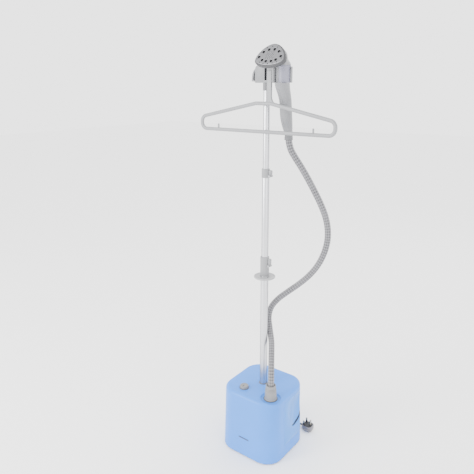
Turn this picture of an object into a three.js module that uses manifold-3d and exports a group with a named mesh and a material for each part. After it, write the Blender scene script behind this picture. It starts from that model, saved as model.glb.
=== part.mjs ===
// Upright garment steamer: a blue base with a boiler and a side water tank, a three-section telescopic pole,
// a hanger, and a steam handset on a fabric hose. Millimetres, +Z up, front is -Y, floor at Z = 0.
// The origin is on the floor under the pole, which stands at the centre of the base.
import * as THREE from 'three';
import Module from 'manifold-3d';
import { mergeVertices } from 'three/addons/utils/BufferGeometryUtils.js';

const wasm = await Module();
wasm.setup();

// ---------- driving dimensions ----------
const GAP = 0.3;                 // between pieces that touch

const BASE_HALF = 115;           // half width at the bottom
const BASE_HALF_TOP = 110.4;     // half width where the top edge starts to round
const BASE_CORNER = 60;          // corner radius in plan
const BASE_TOP = 235;
const BASE_EDGE = 12.5;          // radius of the top edge
const BASE_BOTTOM = 4;           // lower rim of the shell above the floor
const BASE_WALL = 3;
const ROOF_UNDER = 229;          // underside of the base's top
const PAN_TOP = 7;

const TANK = { x0: 43, y0: -33.5, y1: 95.5, z0: 45.3, z1: 213.5, wall: 2.6 };
const BAY = { x0: 41, y0: -34, y1: 96, z0: 45, z1: 214, wall: 2 };
const GRIP = { x: 213.2, y: 64.8, z: 152, r: 120 };       // sphere that scoops out the tank's grip
const FILLER = { x: 72, y: 30, r: 15 };
const OUTLET = { y: 30, z: 60, r: 7 };

const CUFF = { x: 73, y: -63, foot: 22, body: 20, rim: 16, top: 285 };
const DISH_DEPTH = 2.5;
const DISH_R = 34;
const KNOB = { x: -35, y: -65, r: 15.5, top: 245 };

const LOWER_TUBE_R = 12.5;
const MID_TUBE_R = 11;
const UPPER_TUBE_R = 9.5;
const TUBE_WALL = 1;
const LOWER_LOCK = { z0: 637, z1: 702, r: 14.7, leverZ: 673, leverTop: 697 };
const UPPER_LOCK = { z0: 961, z1: 989, r: 13, leverZ: 967, leverTop: 985 };
const DISC = { r: 35.5, z: 629 };

const HOLDER = { z0: 1243, top: 1287, blockTop: 1293, half: 12 };
const CRADLE = { x: 58, y: 1.4, inner: 20.5, outer: 24.5 };
const SLIT = { x0: -1.4, x1: 7, z0: 1250, z1: 1284, back: 4 };

const HANGER = { y: -18.5, depth: 9, bar: 11, low: 1102, peak: 1184.5, tip: 239 };
const STEM = { x0: 13.5, x1: 29.5, y0: -21.5, y1: -15.5, top: 1276 };
const LUG = { x0: 17.3, x1: 25.7, back: -5, z0: 1252.3, z1: 1269.7 };

const HANDSET_X = 58;            // the handset's mirror plane
const PLATE = { y: -72.7, z: 1314.5, tilt: THREE.MathUtils.degToRad(29) };
const HANDLE_WALL = 2.5;

const HOSE_R = 10;
const CORD_R = 3.75;
const COIL = { x: -70.25, y: 202, inner: 32.75, outer: 55.25 };
const CORD_EXIT = { x: -15, z: 18 };
const PLUG = { x: 105, y: 145, half: 20, height: 22, nose: 82 };

// The hose's centre line, from inside the cuff up to the handset.
const HOSE_ROUTE = [
  [73, -63, 264], [73, -62, 302], [65, -50, 337], [48, -24, 369], [26, 8, 400],
  [5, 28, 437], [-3, 33, 474], [4, 38, 511], [24, 49, 542], [52, 64, 570],
  [83, 80, 599], [113, 94, 632], [138, 104, 670], [156, 110, 714], [165, 112, 758],
  [166, 108, 798], [160, 102, 836], [148, 92, 875], [133, 81, 912], [114, 68, 954],
  [94, 56, 993], [77, 46, 1023], [66, 39, 1045], [60, 36, 1066], [58, 35, 1086],
];
const HOSE_CUTS = [11, 16];      // route points where one stretch of hose ends and the next begins

const colours = {
  blue: 0xa8c8ec, paleGrey: 0xcfd1d4, midGrey: 0xb4b6bb, darkGrey: 0x55575b, black: 0x222326,
  aluminium: 0xd8dade, steel: 0xc4c6c9, brass: 0xc9a553, green: 0x2f6b46, clear: 0xbfd8ee,
};
const paint = (color, roughness = 0.5, metalness = 0) =>
  new THREE.MeshStandardMaterial({ color, roughness, metalness });
const materials = {
  blue: paint(colours.blue, 0.4),
  pale: paint(colours.paleGrey, 0.5),
  grey: paint(colours.midGrey, 0.5),
  dark: paint(colours.darkGrey, 0.6),
  black: paint(colours.black, 0.7),
  aluminium: paint(colours.aluminium, 0.25, 0.9),
  steel: paint(colours.steel, 0.35, 0.9),
  brass: paint(colours.brass, 0.4, 0.9),
  board: paint(colours.green, 0.6),
  cord: paint(colours.paleGrey, 0.7),
  hose: paint(colours.midGrey, 0.9),
};

// ---------- geometry helpers ----------

// A closed geometry as a solid. Faces that point inwards are turned round first.
function solid(geometry) {
  const bare = geometry.clone();
  for (const name of Object.keys(bare.attributes)) if (name !== 'position') bare.deleteAttribute(name);
  const merged = mergeVertices(bare, 1e-4);
  const p = merged.attributes.position.array;
  const triangles = [];
  let volume = 0;
  for (let i = 0; i < merged.index.count; i += 3) {
    const [a, b, c] = [0, 1, 2].map((k) => merged.index.array[i + k]);
    if (a === b || b === c || c === a) continue;
    triangles.push(a, b, c);
    const [u, v, w] = [a, b, c].map((k) => new THREE.Vector3(p[3 * k], p[3 * k + 1], p[3 * k + 2]));
    volume += u.dot(v.cross(w)) / 6;
  }
  if (volume < 0) triangles.reverse();
  const mesh = new wasm.Mesh({
    numProp: 3,
    vertProperties: Float32Array.from(p),
    triVerts: Uint32Array.from(triangles),
  });
  return new wasm.Manifold(mesh);
}

const union = (...parts) => parts.reduce((whole, part) => whole.add(part));
const cut = (whole, ...tools) => tools.reduce((rest, tool) => rest.subtract(tool), whole);

function box(x0, x1, y0, y1, z0, z1) {
  const geometry = new THREE.BoxGeometry(x1 - x0, y1 - y0, z1 - z0);
  geometry.translate((x0 + x1) / 2, (y0 + y1) / 2, (z0 + z1) / 2);
  return solid(geometry);
}

// A cylinder from one point along an axis ('x', 'y' or 'z').
function rod(axis, r, start, length, sides = 24) {
  const geometry = new THREE.CylinderGeometry(r, r, length, sides);
  if (axis === 'x') geometry.rotateZ(-Math.PI / 2);
  if (axis === 'z') geometry.rotateX(Math.PI / 2);
  const centre = new THREE.Vector3(...start);
  centre[axis] += length / 2;
  geometry.translate(centre.x, centre.y, centre.z);
  return solid(geometry);
}

const upright = (r, x, y, z0, z1, sides = 28) => rod('z', r, [x, y, z0], z1 - z0, sides);

// A turned piece about a vertical axis. The profile is [radius, z] pairs, closed on itself or on the axis.
function turned(profile, x = 0, y = 0, sides = 28) {
  const points = profile.map(([r, z]) => new THREE.Vector2(r, z));
  if (profile[0][0] > 0) points.push(points[0].clone());
  const geometry = new THREE.LatheGeometry(points, sides);
  geometry.rotateX(Math.PI / 2);
  geometry.translate(x, y, 0);
  return solid(geometry);
}

const pipe = (outer, inner, z0, z1, x = 0, y = 0, sides = 28) =>
  turned([[inner, z0], [outer, z0], [outer, z1], [inner, z1]], x, y, sides);

// A skin through rings that have the same number of points, closed by a flat fan at each end.
function loft(rings) {
  const n = rings[0].length;
  const positions = rings.flat().flatMap((v) => [v.x, v.y, v.z]);
  const index = [];
  for (let k = 0; k + 1 < rings.length; k += 1) {
    for (let i = 0; i < n; i += 1) {
      const j = (i + 1) % n;
      const [a, b, c, d] = [k * n + i, k * n + j, (k + 1) * n + j, (k + 1) * n + i];
      index.push(a, b, c, a, c, d);
    }
  }
  for (const [ring, turn] of [[0, -1], [rings.length - 1, 1]]) {
    const middle = rings[ring].reduce((sum, v) => sum.add(v), new THREE.Vector3()).divideScalar(n);
    positions.push(middle.x, middle.y, middle.z);
    const centre = positions.length / 3 - 1;
    for (let i = 0; i < n; i += 1) {
      const j = (i + 1) % n;
      if (turn > 0) index.push(ring * n + i, ring * n + j, centre);
      else index.push(ring * n + j, ring * n + i, centre);
    }
  }
  const geometry = new THREE.BufferGeometry();
  geometry.setAttribute('position', new THREE.Float32BufferAttribute(positions, 3));
  geometry.setIndex(index);
  return solid(geometry);
}

// A round tube or rod of material along a smooth curve through the points.
function sweep(points, r, sides = 10, steps = 20) {
  const curve = new THREE.CatmullRomCurve3(points.map((p) => new THREE.Vector3(...p)));
  const section = new THREE.Shape().absarc(0, 0, r, 0, 2 * Math.PI);
  const options = { steps, extrudePath: curve, curveSegments: sides / 2 };   // an arc gets two per segment
  return solid(new THREE.ExtrudeGeometry(section, options));
}

// A flat outline extruded upwards between two heights.
function plank(shape, z0, z1, curveSegments = 12) {
  const geometry = new THREE.ExtrudeGeometry(shape, { depth: z1 - z0, bevelEnabled: false, curveSegments });
  geometry.translate(0, 0, z0);
  return solid(geometry);
}

// An outline drawn in X and Z, extruded along Y between two depths.
function slab(shape, y0, y1, curveSegments = 12) {
  const geometry = new THREE.ExtrudeGeometry(shape, { depth: y1 - y0, bevelEnabled: false, curveSegments });
  geometry.rotateX(Math.PI / 2);
  geometry.translate(0, y1, 0);
  return solid(geometry);
}

// A closed outline with rounded corners. Each corner is [x, y, radius], in order round the outline.
function rounded(corners, Outline = THREE.Shape) {
  const outline = new Outline();
  corners.forEach(([x, y, r], i) => {
    const [px, py] = corners.at(i - 1);
    const [nx, ny] = corners[(i + 1) % corners.length];
    const corner = new THREE.Vector2(x, y);
    const back = new THREE.Vector2(px - x, py - y).normalize();
    const on = new THREE.Vector2(nx - x, ny - y).normalize();
    const reach = r / Math.tan(Math.acos(back.dot(on)) / 2);
    const start = corner.clone().addScaledVector(back, reach);
    const end = corner.clone().addScaledVector(on, reach);
    if (i === 0) outline.moveTo(start.x, start.y);
    else outline.lineTo(start.x, start.y);
    outline.quadraticCurveTo(x, y, end.x, end.y);
  });
  outline.closePath();
  return outline;
}

// ---------- the scene graph ----------
const group = new THREE.Group();

function add(name, body, material) {
  const { vertProperties, triVerts, numProp } = body.getMesh();
  const positions = [];
  for (let i = 0; i < vertProperties.length; i += numProp) positions.push(...vertProperties.slice(i, i + 3));
  const geometry = new THREE.BufferGeometry();
  geometry.setAttribute('position', new THREE.Float32BufferAttribute(positions, 3));
  geometry.setIndex(Array.from(triVerts));
  geometry.computeVertexNormals();
  const mesh = new THREE.Mesh(geometry, material);
  mesh.name = name;
  group.add(mesh);
}

// ---------- base ----------

// One level of the base: a square with round corners.
function baseRing(half, corner, z, arcSteps = 7) {
  const ring = [];
  for (let quarter = 0; quarter < 4; quarter += 1) {
    const sx = [1, -1, -1, 1][quarter];
    const sy = [1, 1, -1, -1][quarter];
    for (let k = 0; k <= arcSteps; k += 1) {
      const angle = (Math.PI / 2) * (quarter + k / arcSteps);
      const x = sx * (half - corner) + corner * Math.cos(angle);
      const y = sy * (half - corner) + corner * Math.sin(angle);
      ring.push(new THREE.Vector3(x, y, z));
    }
  }
  return ring;
}

// The base's outer form, drawn in by an inset on every side.
function baseForm(inset, bottom, top) {
  const edgeStart = BASE_TOP - BASE_EDGE;
  const slope = (BASE_HALF - BASE_HALF_TOP) / (edgeStart - BASE_BOTTOM);
  const halfAt = (z) => BASE_HALF - slope * (z - BASE_BOTTOM) - inset;
  const rings = [baseRing(halfAt(bottom), BASE_CORNER - inset, bottom)];
  const reach = BASE_EDGE - inset;
  const steps = 5;
  for (let k = 0; k <= steps; k += 1) {
    const angle = (Math.PI / 2) * (k / steps);
    const shrink = reach * (1 - Math.cos(angle));
    const z = edgeStart + (top - edgeStart) * Math.sin(angle);
    rings.push(baseRing(halfAt(edgeStart) - shrink, BASE_CORNER - inset - shrink, z));
  }
  return loft(rings);
}

const outerForm = baseForm(0, BASE_BOTTOM, BASE_TOP);
const innerForm = baseForm(BASE_WALL, BASE_BOTTOM - 1, ROOF_UNDER);
const linedForm = baseForm(BASE_WALL + GAP, BASE_BOTTOM, ROOF_UNDER - GAP);

const gripBall = (grow) => {
  const geometry = new THREE.SphereGeometry(GRIP.r + grow, 48, 32);
  geometry.translate(GRIP.x, GRIP.y, GRIP.z);
  return solid(geometry);
};

// The finger slot follows the lower rear edge of the grip.
const SLOT_ROUTE = [
  [112, 16, 99], [112, 28, 96.6], [109.8, 46, 95.6], [107, 67, 97.8], [103.8, 80.5, 104], [100, 87, 112],
];
const fingerSlot = (r) => sweep(SLOT_ROUTE, r, 8, 14);

function buildShell() {
  const bayMouth = box(60, 140, BAY.y0, BAY.y1, BAY.z0, BAY.z1);
  const dish = upright(DISH_R, CUFF.x, CUFF.y, BASE_TOP - DISH_DEPTH, BASE_TOP + 5, 40);
  const boss = (x, y) => upright(3.5, x, y, 182.6, ROOF_UNDER + 2, 12);
  const corners = [[-70, -90], [-70, -38], [-24, -90], [-24, -38]];
  const open = cut(
    outerForm, innerForm, bayMouth, dish,
    upright(LOWER_TUBE_R + 0.4, 0, 0, 200, 250),
    upright(11.4, CUFF.x, CUFF.y, 200, 250),
    upright(3.6, KNOB.x, KNOB.y, 200, 250),
    rod('y', 7.4, [CORD_EXIT.x, 100, CORD_EXIT.z], 30),
  );
  return union(open, ...corners.map(([x, y]) => boss(x, y)));
}
add('base_shell', buildShell(), materials.blue);

const feet = { front_left: [-78, -78], front_right: [78, -78], rear_left: [-78, 78], rear_right: [78, 78] };

function buildPan() {
  const inset = BASE_WALL + GAP;
  const plate = loft([
    baseRing(BASE_HALF - inset, BASE_CORNER - inset, BASE_BOTTOM),
    baseRing(BASE_HALF - inset, BASE_CORNER - inset, PAN_TOP),
  ]);
  const holes = Object.values(feet).map(([x, y]) => upright(3.3, x, y, 0, 10, 12));
  return cut(plate, ...holes);
}
add('base_pan', buildPan(), materials.dark);

for (const [place, [x, y]] of Object.entries(feet)) {
  const profile = [[0, 0], [10, 0], [11, 1.2], [11, 3.7], [3, 3.7], [3, 6.6], [0, 6.6]];
  add(`foot_${place}`, turned(profile, x, y, 20), materials.black);
}

add('front_badge', box(-22, 18, -114.9, -113.9, 70.5, 74), materials.dark);

// ---------- water tank ----------
function buildBay() {
  const w = BAY.wall;
  const block = box(BAY.x0 - w, 120, BAY.y0 - w, BAY.y1 + w, BAY.z0 - w, BAY.z1 + w).intersect(linedForm);
  const room = box(BAY.x0, 130, BAY.y0, BAY.y1, BAY.z0, BAY.z1);
  return cut(block, room, rod('x', OUTLET.r + 1.5, [30, OUTLET.y, OUTLET.z], 20));
}
add('tank_bay', buildBay(), materials.grey);

function buildTank() {
  const w = TANK.wall;
  const hull = box(TANK.x0, 140, TANK.y0, TANK.y1, TANK.z0, TANK.z1).intersect(outerForm);
  const room = cut(
    box(TANK.x0 + w, 140, TANK.y0 + w, TANK.y1 - w, TANK.z0 + w, TANK.z1 - w).intersect(innerForm),
    gripBall(w), fingerSlot(6.5),
  );
  const spigot = rod('x', OUTLET.r, [TANK.x0 - 9, OUTLET.y, OUTLET.z], 10);
  const bore = rod('x', 3.4, [TANK.x0 - 10, OUTLET.y, OUTLET.z], 16, 16);
  const filler = upright(FILLER.r, FILLER.x, FILLER.y, TANK.z1 - 10, TANK.z1 + 10);
  return cut(union(cut(hull, gripBall(0), fingerSlot(3.8)), spigot), room, bore, filler);
}
add('water_tank', buildTank(), materials.blue);

const capProfile = [
  [0, TANK.z1 - 8], [FILLER.r - 0.6, TANK.z1 - 8], [FILLER.r - 0.6, TANK.z1 - 3.4],
  [FILLER.r - 3, TANK.z1 - 3.4], [FILLER.r - 3, TANK.z1 - 1.5], [0, TANK.z1 - 1.5],
];
add('tank_cap', union(
  turned(capProfile, FILLER.x, FILLER.y),
  box(FILLER.x - 11, FILLER.x + 11, FILLER.y - 1.5, FILLER.y + 1.5, TANK.z1 - 2, TANK.z1 - 0.2),
), materials.pale);

const plunger = union(
  rod('x', 5.6, [TANK.x0 + TANK.wall + 3.3, OUTLET.y, OUTLET.z], 2.6, 20),
  rod('x', 2.4, [TANK.x0 - 7, OUTLET.y, OUTLET.z], 14, 16),
);
add('tank_valve', plunger, materials.black);

// The seat takes the tank's outlet and passes water on to the pump.
const seat = cut(
  box(20, BAY.x0 - BAY.wall - GAP, 20, 42, PAN_TOP + GAP, 74),
  rod('x', OUTLET.r + 0.5, [33, OUTLET.y, OUTLET.z], 12),
  rod('x', 3, [10, OUTLET.y, OUTLET.z], 30, 16),
);
add('valve_seat', seat, materials.pale);

// ---------- inside the base ----------
const PUMP = { x0: -88, x1: -40, y0: 42, y1: 84, z1: 44 };
const pump = union(
  box(PUMP.x0, PUMP.x1, PUMP.y0, PUMP.y1, PAN_TOP + GAP, PUMP.z1),
  upright(14, -64, 63, PUMP.z1 - 1, 66),
);
add('pump', pump, materials.steel);

const BOILER = { x: 44, y: -72, r: 30, z0: 30, z1: 112 };
const boilerProfile = [
  [0, BOILER.z0], [BOILER.r - 6, BOILER.z0], [BOILER.r, BOILER.z0 + 6],
  [BOILER.r, BOILER.z1 - 8], [BOILER.r - 8, BOILER.z1], [0, BOILER.z1],
];
const boilerLegs = [0, 1, 2].map((k) => {
  const angle = (2 * Math.PI * k) / 3;
  const [x, y] = [BOILER.x + 20 * Math.cos(angle), BOILER.y + 20 * Math.sin(angle)];
  return upright(3, x, y, PAN_TOP + GAP, 34, 12);
});
add('boiler', union(turned(boilerProfile, BOILER.x, BOILER.y), ...boilerLegs), materials.aluminium);
add('boiler_thermostat', upright(9, 34, -80, BOILER.z1 + GAP, BOILER.z1 + 9, 20), materials.brass);

add('feed_tube', sweep([
  [19.6, 30, 60], [15, 30, 60], [2, 33, 57], [-12, 41, 46], [-25, 54, 34], [-34, 60, 32], [-39.6, 60, 32],
], 3.5, 8, 14), materials.pale);
add('boiler_feed_tube', sweep([
  [-64, 41.6, 30], [-64, 25, 30], [-58, -10, 32], [-42, -45, 40],
  [-15, -66, 50], [6, -72, 55], [13.6, -72, 55],
], 3.5, 8, 16), materials.pale);
add('steam_pipe', sweep([
  [52, -66, BOILER.z1 + GAP], [52, -66, 122], [54, -65.5, 135],
  [64, -64, 160], [72, -63, 185], [CUFF.x, CUFF.y, 204.6],
], 6, 12, 14), materials.steel);

const BOARD = { x0: -76, x1: -18, y0: -96, y1: -32, z0: 180 };
add('control_board', cut(
  box(BOARD.x0, BOARD.x1, BOARD.y0, BOARD.y1, BOARD.z0, BOARD.z0 + 2.2),
  upright(2, -50, -45, 170, 190, 12),
), materials.board);

const knobShaftBottom = 216;
const switchBody = cut(
  upright(13, KNOB.x, KNOB.y, BOARD.z0 + 2.5, ROOF_UNDER - GAP),
  upright(3.4, KNOB.x, KNOB.y, knobShaftBottom - 2, ROOF_UNDER + 5, 16),
);
add('knob_switch', switchBody, materials.black);

function buildKnob() {
  const low = BASE_TOP + GAP;
  const profile = [
    [0, low], [KNOB.r - 0.5, low], [KNOB.r, low + 1], [KNOB.r - 0.8, KNOB.top - 2.2],
    [KNOB.r - 3, KNOB.top - 0.6], [0, KNOB.top - 0.6],
  ];
  const shaft = upright(3, KNOB.x, KNOB.y, knobShaftBottom, low + 1, 16);
  const pointer = box(KNOB.x - 1.2, KNOB.x + 1.2, KNOB.y - 11.5, KNOB.y - 3, KNOB.top - 1.2, KNOB.top + 0.4);
  return union(turned(profile, KNOB.x, KNOB.y, 32), shaft, pointer);
}
add('control_knob', buildKnob(), materials.pale);

function buildCuff() {
  const foot = BASE_TOP - DISH_DEPTH + GAP;
  const mouth = CUFF.rim - 2.6;
  const profile = [
    [8, 205], [11, 205], [11, foot], [CUFF.foot, foot], [CUFF.foot, foot + 2],
    [CUFF.body, foot + 4], [CUFF.body - 0.4, CUFF.top - 26], [CUFF.rim + 1.6, CUFF.top - 12],
    [CUFF.rim, CUFF.top - 3], [CUFF.rim - 0.6, CUFF.top], [mouth, CUFF.top], [mouth, CUFF.top - 7],
    [HOSE_R + 0.4, CUFF.top - 7], [HOSE_R + 0.4, 263], [8, 263],
  ];
  return turned(profile, CUFF.x, CUFF.y, 32);
}
add('hose_cuff', buildCuff(), materials.pale);

// ---------- pole ----------
add('pole_socket', turned([
  [0, PAN_TOP + GAP], [25, PAN_TOP + GAP], [25, 11], [18, 14], [18, 80],
  [LOWER_TUBE_R + 0.3, 80], [LOWER_TUBE_R + 0.3, 20], [0, 20],
]), materials.dark);
add('lower_tube', pipe(LOWER_TUBE_R, LOWER_TUBE_R - TUBE_WALL, 20.3, 694), materials.aluminium);

add('pole_disc', turned([
  [LOWER_TUBE_R + 0.3, DISC.z + 1], [20, DISC.z + 1], [DISC.r - 1, DISC.z], [DISC.r, DISC.z + 3],
  [DISC.r - 1, DISC.z + 6.5], [DISC.r - 5, DISC.z + 6.5],
  [20, DISC.z + 4.2], [LOWER_TUBE_R + 0.3, DISC.z + 4.2],
], 0, 0, 40), materials.pale);

// A clamp collar at the top of one tube. Its flip lever hangs on a pin between two ears on the +X side.
function addLock(prefix, lock, lowerTube, upperTube) {
  const pinX = lock.r + 4.3;
  const capZ = lock.z1 - 7.5;
  const ring = turned([
    [lowerTube + 0.3, lock.z0], [lock.r - 0.8, lock.z0], [lock.r, lock.z0 + 1], [lock.r, lock.z1 - 1.2],
    [lock.r - 1.2, lock.z1], [upperTube + 0.3, lock.z1], [upperTube + 0.3, capZ], [lowerTube + 0.3, capZ],
  ]);
  const ear = (y0, y1) => union(
    rod('y', 4, [pinX, y0, lock.leverZ], y1 - y0, 20),
    box(lock.r - 1.5, pinX, y0, y1, lock.leverZ - 4, lock.leverZ + 4),
  );
  const pinHole = rod('y', 1.7, [pinX, -20, lock.leverZ], 40, 16);
  const fit = upright(lowerTube + 0.3, 0, 0, lock.z0 - 1, capZ);
  add(`${prefix}_lock_collar`, cut(union(ring, ear(-8, -5), ear(5, 8)), fit, pinHole), materials.pale);

  const face = lock.r + 0.7;
  const side = new THREE.Shape();
  side.moveTo(face, lock.leverZ);
  side.lineTo(face, lock.leverTop);
  side.lineTo(lock.r + 7, lock.leverTop);
  side.quadraticCurveTo(lock.r + 9.5, lock.leverTop - 1, lock.r + 9, lock.leverTop - 5);
  side.lineTo(pinX + 3.6, lock.leverZ);
  side.closePath();
  const lever = union(slab(side, -4.6, 4.6), rod('y', 3.6, [pinX, -4.6, lock.leverZ], 9.2, 20));
  add(`${prefix}_lock_lever`, cut(lever, pinHole), materials.pale);
  add(`${prefix}_lock_pin`, rod('y', 1.4, [pinX, -8, lock.leverZ], 16, 16), materials.steel);
}

// The guide bush fills the end of a tube and slides in the tube around it.
const bush = (bottom, guide, plug, bore) => turned([
  [bore, bottom], [guide, bottom], [guide, bottom + 18],
  [plug, bottom + 18], [plug, bottom + 30], [bore, bottom + 30],
]);

addLock('lower', LOWER_LOCK, LOWER_TUBE_R, MID_TUBE_R);
add('mid_tube', pipe(MID_TUBE_R, MID_TUBE_R - TUBE_WALL, 420, 981), materials.aluminium);
add('mid_tube_bush', bush(401.7, MID_TUBE_R + 0.2, MID_TUBE_R - TUBE_WALL - GAP, 7), materials.dark);

addLock('upper', UPPER_LOCK, MID_TUBE_R, UPPER_TUBE_R);
add('upper_tube', pipe(UPPER_TUBE_R, UPPER_TUBE_R - TUBE_WALL, 780, HOLDER.z0 - GAP), materials.aluminium);
add('upper_tube_bush', bush(761.7, UPPER_TUBE_R + 0.2, UPPER_TUBE_R - TUBE_WALL - GAP, 5), materials.dark);

add('holder_sleeve', pipe(11.6, UPPER_TUBE_R + 0.3, 1221, HOLDER.z0 - GAP), materials.dark);

// ---------- holder on top of the pole ----------
function buildHolder() {
  const { z0, top, blockTop, half } = HOLDER;
  const blockSide = rounded([[-35, z0, 3], [SLIT.x0, z0, 1], [SLIT.x0, blockTop, 3], [-35, blockTop, 14]]);
  const block = slab(blockSide, -half, half);
  const plate = plank(rounded([[-4, -half, 1], [37, -half, 3], [37, half, 3], [-4, half, 1]]), z0, top);
  const bridge = box(-6, 10, -half + 1, half, SLIT.z1, top + 2);
  const cheekOutline = rounded([[30, STEM.y0, 2.5], [36.8, STEM.y0, 2.5], [36.8, -7, 1], [30, -7, 1]]);
  const cheek = plank(cheekOutline, z0 + 0.6, top - 1.6);

  const wrap = new THREE.Shape();
  wrap.moveTo(CRADLE.x + CRADLE.outer, CRADLE.y);
  wrap.absarc(CRADLE.x, CRADLE.y, CRADLE.outer, 0, Math.PI, false);
  wrap.lineTo(CRADLE.x - CRADLE.inner, CRADLE.y);
  wrap.absarc(CRADLE.x, CRADLE.y, CRADLE.inner, Math.PI, 0, true);
  wrap.closePath();
  const cradle = plank(wrap, z0, top, 20);

  const hook = new THREE.Shape();
  hook.moveTo(-30, 1285);
  hook.quadraticCurveTo(-47, 1284, -50, 1262);
  hook.lineTo(-51, 1247);
  hook.lineTo(-42, 1247);
  hook.lineTo(-42, 1250.5);
  hook.lineTo(-46, 1251);
  hook.quadraticCurveTo(-45, 1272, -41, 1276);
  hook.lineTo(-30, 1276);
  hook.closePath();

  const spigot = upright(UPPER_TUBE_R - TUBE_WALL - GAP, 0, 0, 1205, z0 + 1);
  const slit = box(SLIT.x0, SLIT.x1, -half - 5, SLIT.back, SLIT.z0, SLIT.z1);
  const lugHole = box(LUG.x0 - GAP, LUG.x1 + GAP, -half - 5, LUG.back + 2, LUG.z0 - GAP, LUG.z1 + GAP);
  const whole = union(block, plate, bridge, cheek, cradle, slab(hook, -6, 6), spigot);
  const neckRoom = upright(CRADLE.inner, CRADLE.x, CRADLE.y, z0 - 5, top + 5, 40);
  return cut(whole, slit, lugHole, neckRoom);
}
add('holder_body', buildHolder(), materials.pale);

// ---------- hanger ----------
function hangerLoop(grow) {
  const d = grow;
  const { low, peak, tip } = HANGER;
  return [
    [-tip - d, low - d, 19 + d], [tip + d, low - d, 19 + d], [tip + d, 1140 + d * 0.8, 19 + d],
    [27 + d * 0.1, peak + d, 30 + d], [-27 - d * 0.1, peak + d, 30 + d], [-tip - d, 1140 + d * 0.8, 19 + d],
  ];
}

function buildHanger() {
  const round = 2.5;
  const half = HANGER.bar / 2;
  const outline = rounded(hangerLoop(half - round));
  outline.holes.push(rounded(hangerLoop(round - half), THREE.Path));
  const geometry = new THREE.ExtrudeGeometry(outline, {
    depth: HANGER.depth - 2 * round, bevelEnabled: true, bevelThickness: round, bevelSize: round,
    bevelSegments: 2, curveSegments: 8,
  });
  geometry.rotateX(Math.PI / 2);
  geometry.translate(0, HANGER.y + HANGER.depth / 2 - round, 0);
  const loop = solid(geometry);

  const stemSide = new THREE.Shape();
  stemSide.moveTo(STEM.x0, HANGER.peak);
  stemSide.lineTo(STEM.x0, STEM.top);
  stemSide.lineTo(STEM.x1, STEM.top);
  stemSide.lineTo(STEM.x1, 1204);
  stemSide.quadraticCurveTo(STEM.x1 + 1, 1188, STEM.x1 + 14, HANGER.peak - 2);
  stemSide.closePath();
  const stem = slab(stemSide, STEM.y0, STEM.y1);
  const lug = box(LUG.x0, LUG.x1, STEM.y1 - 1, LUG.back, LUG.z0, LUG.z1);
  const peg = (x) => upright(3, x, HANGER.y, HANGER.low, HANGER.low + 18, 12);
  return union(loop, stem, lug, peg(-171), peg(171));
}
add('hanger', buildHanger(), materials.pale);

// ---------- handset ----------

// A level of the handle: an ellipse lying flat at height z.
const HANDLE_SIDES = 28;
const handleRing = ([z, y, halfX, halfY], shrink = 0) => Array.from({ length: HANDLE_SIDES }, (_, i) => {
  const angle = (2 * Math.PI * (i + 0.5)) / HANDLE_SIDES;
  return new THREE.Vector3(
    HANDSET_X + (halfX - shrink) * Math.cos(angle), y + (halfY - shrink) * Math.sin(angle), z,
  );
});

// [height, middle depth, half width, half depth]
const HANDLE_LEVELS = [
  [1092, 35, 11.5, 10.5], [1098, 33, 12.6, 11.6], [1107, 29.5, 14, 13],
  [1122, 24.5, 16, 16], [1143, 19, 17.3, 18.3],
  [1163, 16, 17.8, 18.2], [1187, 13, 18.2, 17], [1205, 7.5, 18.6, 18.5], [1220, 0.5, 19, 21.5],
  [1232, -4.5, 19, 24.5], [1242.7, -7.5, 19, 26],
];

function buildHandle() {
  const skin = loft(HANDLE_LEVELS.map((level) => handleRing(level)));
  const inner = HANDLE_LEVELS.map((level) => handleRing(level, HANDLE_WALL));
  const [low, high] = [inner[0], inner.at(-1)];
  const room = loft([
    low.map((v) => new THREE.Vector3(v.x, v.y, v.z - 2)), ...inner.slice(0, -1),
    high.map((v) => new THREE.Vector3(v.x, v.y, v.z - HANDLE_WALL)),
  ]);
  const neckHole = upright(10.3, CRADLE.x, CRADLE.y, 1230, 1250);
  const shell = cut(skin, room, neckHole);
  const seam = GAP / 2;
  add('handle_left_shell', cut(shell, box(HANDSET_X - seam, 120, -60, 80, 1050, 1260)), materials.grey);
  add('handle_right_shell', cut(shell, box(0, HANDSET_X + seam, -60, 80, 1050, 1260)), materials.grey);
}
buildHandle();

// The neck stands in the cradle, with a wider collar under it.
add('neck_collar', turned([
  [8.2, 1243], [19.2, 1243], [19.6, 1244], [19.6, 1250], [18.8, 1251.5],
  [18.8, 1284], [19.6, 1286], [19.6, 1290.7], [8.2, 1290.7],
], CRADLE.x, CRADLE.y, 32), materials.grey);
add('handset_steam_tube', sweep([
  [58, 35, 1094], [58, 31, 1104], [58, 24, 1130], [58, 17, 1165],
  [58, 9, 1205], [58, 3, 1235], [58, 1.4, 1292],
], 5, 12, 18), materials.steel);

// The steam plate's own directions: across, up the plate, and out of its face.
const across = new THREE.Vector3(1, 0, 0);
const outward = new THREE.Vector3(0, -Math.cos(PLATE.tilt), Math.sin(PLATE.tilt));
const upPlate = new THREE.Vector3(0, Math.sin(PLATE.tilt), Math.cos(PLATE.tilt));
const onPlate = (s, t, out) => new THREE.Vector3(HANDSET_X, PLATE.y, PLATE.z)
  .addScaledVector(across, s).addScaledVector(upPlate, t).addScaledVector(outward, out);

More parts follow.
